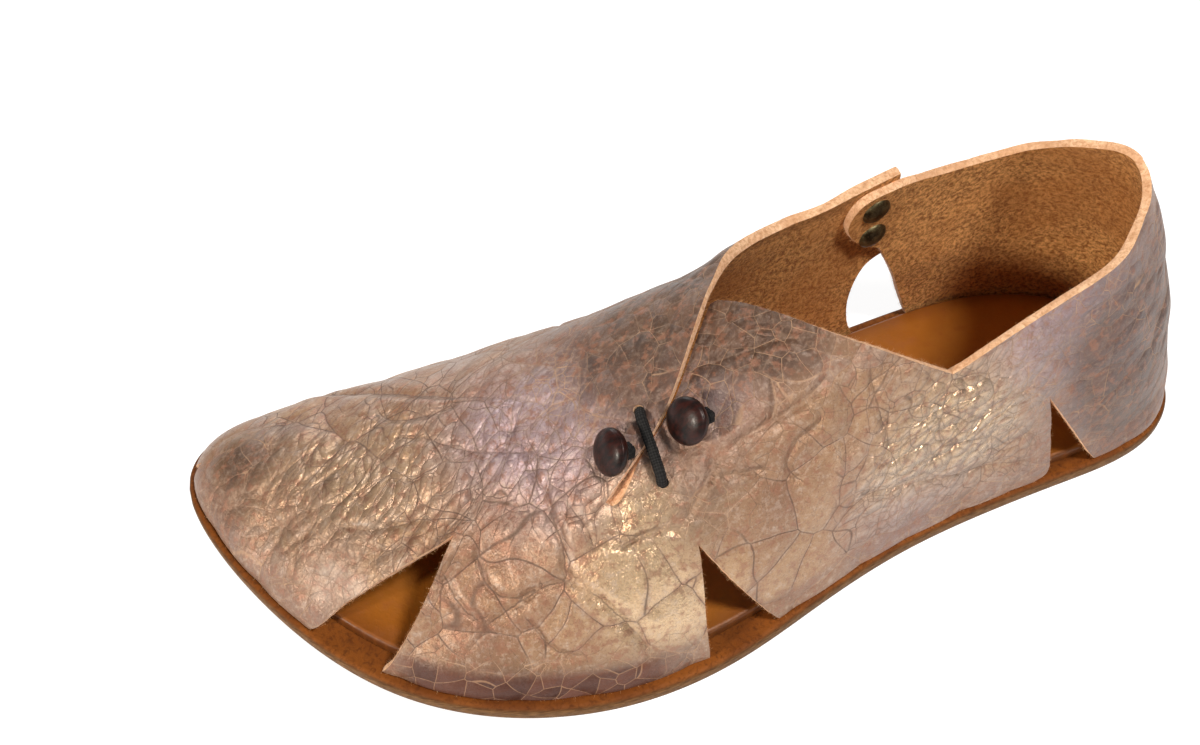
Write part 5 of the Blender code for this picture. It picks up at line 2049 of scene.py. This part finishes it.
def swept_cord():
    weave = Weave("swept_cord", radius="Float", sides="Int", spacing="Float")
    sockets = {"Curve": weave.given("Geometry"), "Length": weave.given("spacing")}
    path = weave.node("GeometryNodeResampleCurve", {"mode": "LENGTH"}, sockets)
    sockets = {"Resolution": weave.given("sides"), "Radius": weave.given("radius")}
    ring = weave.node("GeometryNodeCurvePrimitiveCircle", {}, sockets)
    path = noted(weave, path, "run", "Length")
    ring = noted(weave, ring, "round", "Factor")
    sockets = {"Curve": path, "Profile Curve": ring, "Fill Caps": True}
    tube = weave.node("GeometryNodeCurveToMesh", {}, sockets)
    return weave.end(weave.node("GeometryNodeSetShadeSmooth", {}, {"Geometry": tube}))


def braid_finish():
    finish = Finish("black_braid", specular_ior_level=0.3)
    along_cord = finish.value("run") * BRAID_ALONG
    round_cord = finish.value("round") * BRAID_ROUND
    braided = (along_cord + round_cord).sine() * (along_cord - round_cord).sine()
    dust = finish.noise(finish.place(), 700.0, 3.0)
    colour = finish.mix(braided.ramp(-0.8, 0.9), BRAID_DARK, BRAID_GREY)
    colour = finish.mix(dust.ramp(0.55, 0.8, 0.0, 0.25), colour, BRAID_DUST)
    roughness = 0.62 + braided.ramp(-1.0, 1.0, 0.2, 0.0)
    return finish.set(base_color=colour, roughness=roughness, normal=finish.bump(braided * 0.09))


def curve_through(name, points):
    """A smooth open curve through the points."""
    curve = bpy.data.curves.new(name, "CURVE")
    curve.dimensions = "3D"
    curve.resolution_u = CURVE_STEPS
    spline = curve.splines.new("BEZIER")
    placed = to_part(points)
    spline.bezier_points.add(len(placed) - 1)
    for knot, place in zip(spline.bezier_points, placed):
        knot.co = place
        knot.handle_left_type = "AUTO"
        knot.handle_right_type = "AUTO"
    return put(name, curve)


sweep = swept_cord()
braid = braid_finish()


def cord_piece(name, points, radius, sides, spacing):
    """A cord through the points, in the braid's finish."""
    sizes = {"radius": radius * MM, "sides": sides, "spacing": spacing * MM}
    piece = sweep.apply(curve_through(name, points), cover=braid, **sizes)
    length = max(item.value for item in piece.data.attributes["run"].data) / MM
    print(name, "has", len(piece.data.polygons), "faces and is", round(length, 1), "mm long")
    return piece


# %% Elastic cord
CORD_RADIUS = 1.2
CORD_SIDES = 20
CORD_SPACING = 0.35
CORD_CLEAR = 0.5
CORD_COMES_OUT = 1.2
BAR_BOW = 0.5
BAR_CLEAR = 0.2
BAR_SHARES = (0.12, 0.3, 0.5, 0.7, 0.88)
INSIDE_SHARES = (0.25, 0.5, 0.75)


def over_leather(place, lift):
    """A point over, or with a lift below zero under, a place of the leather."""
    return last_surface(*place)[0] + last_normal(*place)[0] * lift


def between(first, second, share):
    return np.array(first) + (np.array(second) - np.array(first)) * share


def run_inside(first, second):
    """Points under the leather between two holes."""
    depth = WALL + CORD_RADIUS + CORD_CLEAR
    return [over_leather(between(first, second, share), -depth) for share in INSIDE_SHARES]


def bar_over(first, second):
    """Points of the bar over the slit between two holes."""
    lifts = [CORD_RADIUS + BAR_CLEAR + BAR_BOW * math.sin(math.pi * share) for share in BAR_SHARES]
    return [over_leather(between(first, second, s), lift) for s, lift in zip(BAR_SHARES, lifts)]


front_shank, back_shank = SHANK_HOLES
upper_hole, lower_hole = CORD_HOLES
IN_WALL = -WALL / 2
cord_path = [over_leather(front_shank, CORD_COMES_OUT), over_leather(front_shank, IN_WALL)]
cord_path += run_inside(front_shank, upper_hole) + [over_leather(upper_hole, IN_WALL)]
cord_path += bar_over(upper_hole, lower_hole)
cord_path += [over_leather(lower_hole, IN_WALL)] + run_inside(lower_hole, back_shank)
cord_path += [over_leather(back_shank, IN_WALL), over_leather(back_shank, CORD_COMES_OUT)]
cord = cord_piece("elastic_cord", cord_path, CORD_RADIUS, CORD_SIDES, CORD_SPACING)

# %% Knots behind the buttons
KNOT_CORD_RADIUS = 0.85
KNOT_SIDES = 14
KNOT_SPACING = 0.3
KNOT_TURNS = 3.0
KNOT_STEPS = 40
KNOT_FOOT = 1.2
KNOT_SINKS = 0.6
KNOT_REACH = 0.9
KNOT_BELLY = 0.35
KNOT_UNEVEN = 0.15
BACK_SHARE = 0.4


def knot_path(root, normal, toeward, back_of_button):
    """Turns of thin cord wound from the hole to the button's back."""
    start = root + normal * KNOT_FOOT
    run = back_of_button - start
    axis = run / np.linalg.norm(run)
    side = np.cross(axis, toeward)
    side /= np.linalg.norm(side)
    across = np.cross(axis, side)
    points = []
    for k in range(KNOT_STEPS + 1):
        share = k / KNOT_STEPS
        angle = 2 * math.pi * KNOT_TURNS * share
        reach = KNOT_REACH + KNOT_BELLY * math.sin(math.pi * share) + KNOT_UNEVEN * math.sin(5 * angle)
        points.append(start + run * share + reach * (math.cos(angle) * side + math.sin(angle) * across))
    return [start - normal * KNOT_SINKS] + points + [back_of_button]


knots = []
for letter, shank, centre, axis in zip("ab", shank_roots, button_centres, button_axes):
    path = knot_path(*shank, centre - axis * BUTTON_THICK * BACK_SHARE)
    knots.append(cord_piece("shank_knot_" + letter, path, KNOT_CORD_RADIUS, KNOT_SIDES, KNOT_SPACING))

# %% [markdown]
# ## Floor and light
# A plain pale floor and soft lights show the shoe as a studio would. A low warm light on the toe side grazes
# the plates, and a high one on the outer heel side reaches down into the shoe. Two broad weak ones lift the
# shadows on either side.

# %% Floor and lights
# Sizes and places of the floor and the lights are in metres
FLOOR_REACH = 20.0
FLOOR_TOP = -0.0001
FLOOR_GREY = (0.35, 0.35, 0.35, 1.0)
FLOOR_GLOW = 0.86
WORLD_STRENGTH = 0.17
WHITE = (1.0, 1.0, 1.0, 1.0)
LIT_POINT = Vector((0.0, 0.0, 0.03))

# Lights: name, place, size, power in watts, colour
LIGHTS = (
    ("window", (1.13, 0.46, 0.6), (0.13, 0.13), 13.5, (1.0, 0.91, 0.78)),
    ("outer_fill", (0.1, 1.2, 0.5), (0.9, 0.7), 0.9, (1.0, 0.96, 0.92)),
    ("sky", (-0.36, 0.52, 1.14), (0.22, 0.22), 12.5, (1.0, 0.94, 0.87)),
    ("inner_window", (0.0, -1.1, 0.5), (0.6, 0.5), 5.0, (1.0, 0.98, 0.95)),
)


def plain_floor():
    mesh = bpy.data.meshes.new("floor")
    ways = ((-1, -1), (1, -1), (1, 1), (-1, 1))
    mesh.from_pydata([(a * FLOOR_REACH, b * FLOOR_REACH, FLOOR_TOP) for a, b in ways], [], [(0, 1, 2, 3)])
    matt = {"base_color": FLOOR_GREY, "roughness": 0.9, "specular_ior_level": 0.1}
    finish = Finish("pale_floor", emission_color=WHITE, emission_strength=FLOOR_GLOW, **matt)
    mesh.materials.append(finish.material)
    put("floor", mesh)


def soft_light(name, place, size, power, colour):
    """A rectangle of light that faces the shoe."""
    data = bpy.data.lights.new(name, "AREA")
    data.shape = "RECTANGLE"
    data.size, data.size_y = size
    data.energy = power
    data.color = colour
    made = put(name, data)
    made.location = place
    made.rotation_euler = (LIT_POINT - Vector(place)).to_track_quat("-Z", "Y").to_euler()


plain_floor()
for row in LIGHTS:
    soft_light(*row)
world = bpy.data.worlds.new("studio")
bpy.context.scene.world = world
world.use_nodes = True
background = world.node_tree.nodes["Background"]
background.inputs["Color"].default_value = WHITE
background.inputs["Strength"].default_value = WORLD_STRENGTH
bpy.context.scene.view_settings.view_transform = "Standard"
print("lights:", [row[0] for row in LIGHTS])

# %% [markdown]
# ## The pieces on the body
# Each piece rides on the shoe's one body, and the solids it stands for are hidden.

# %% Ride and replace
STANDS_FOR = (
    (upper, "upper_leather", ("upper",)),
    (fuzz, "upper_leather", ()),
    (insole, "insole_leather", ("insole",)),
    (outsole, "outsole_leather", ("outsole",)),
    (rivets, "rivet_metal", ("rivet_top", "rivet_bottom")),
    (buttons, "button_wood", ("button_front", "button_back")),
    (cord, "elastic", ("cord_bar",)),
    (knots[0], "elastic", ("shank_front",)),
    (knots[1], "elastic", ("shank_back",)),
)
for piece, slot, nodes in STANDS_FOR:
    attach(piece, "root")
    if nodes:
        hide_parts(*nodes)
    triangle_count = sum(len(face.vertices) - 2 for face in piece.data.polygons)
    print(piece.name, "rides on root,", triangle_count, "triangles")
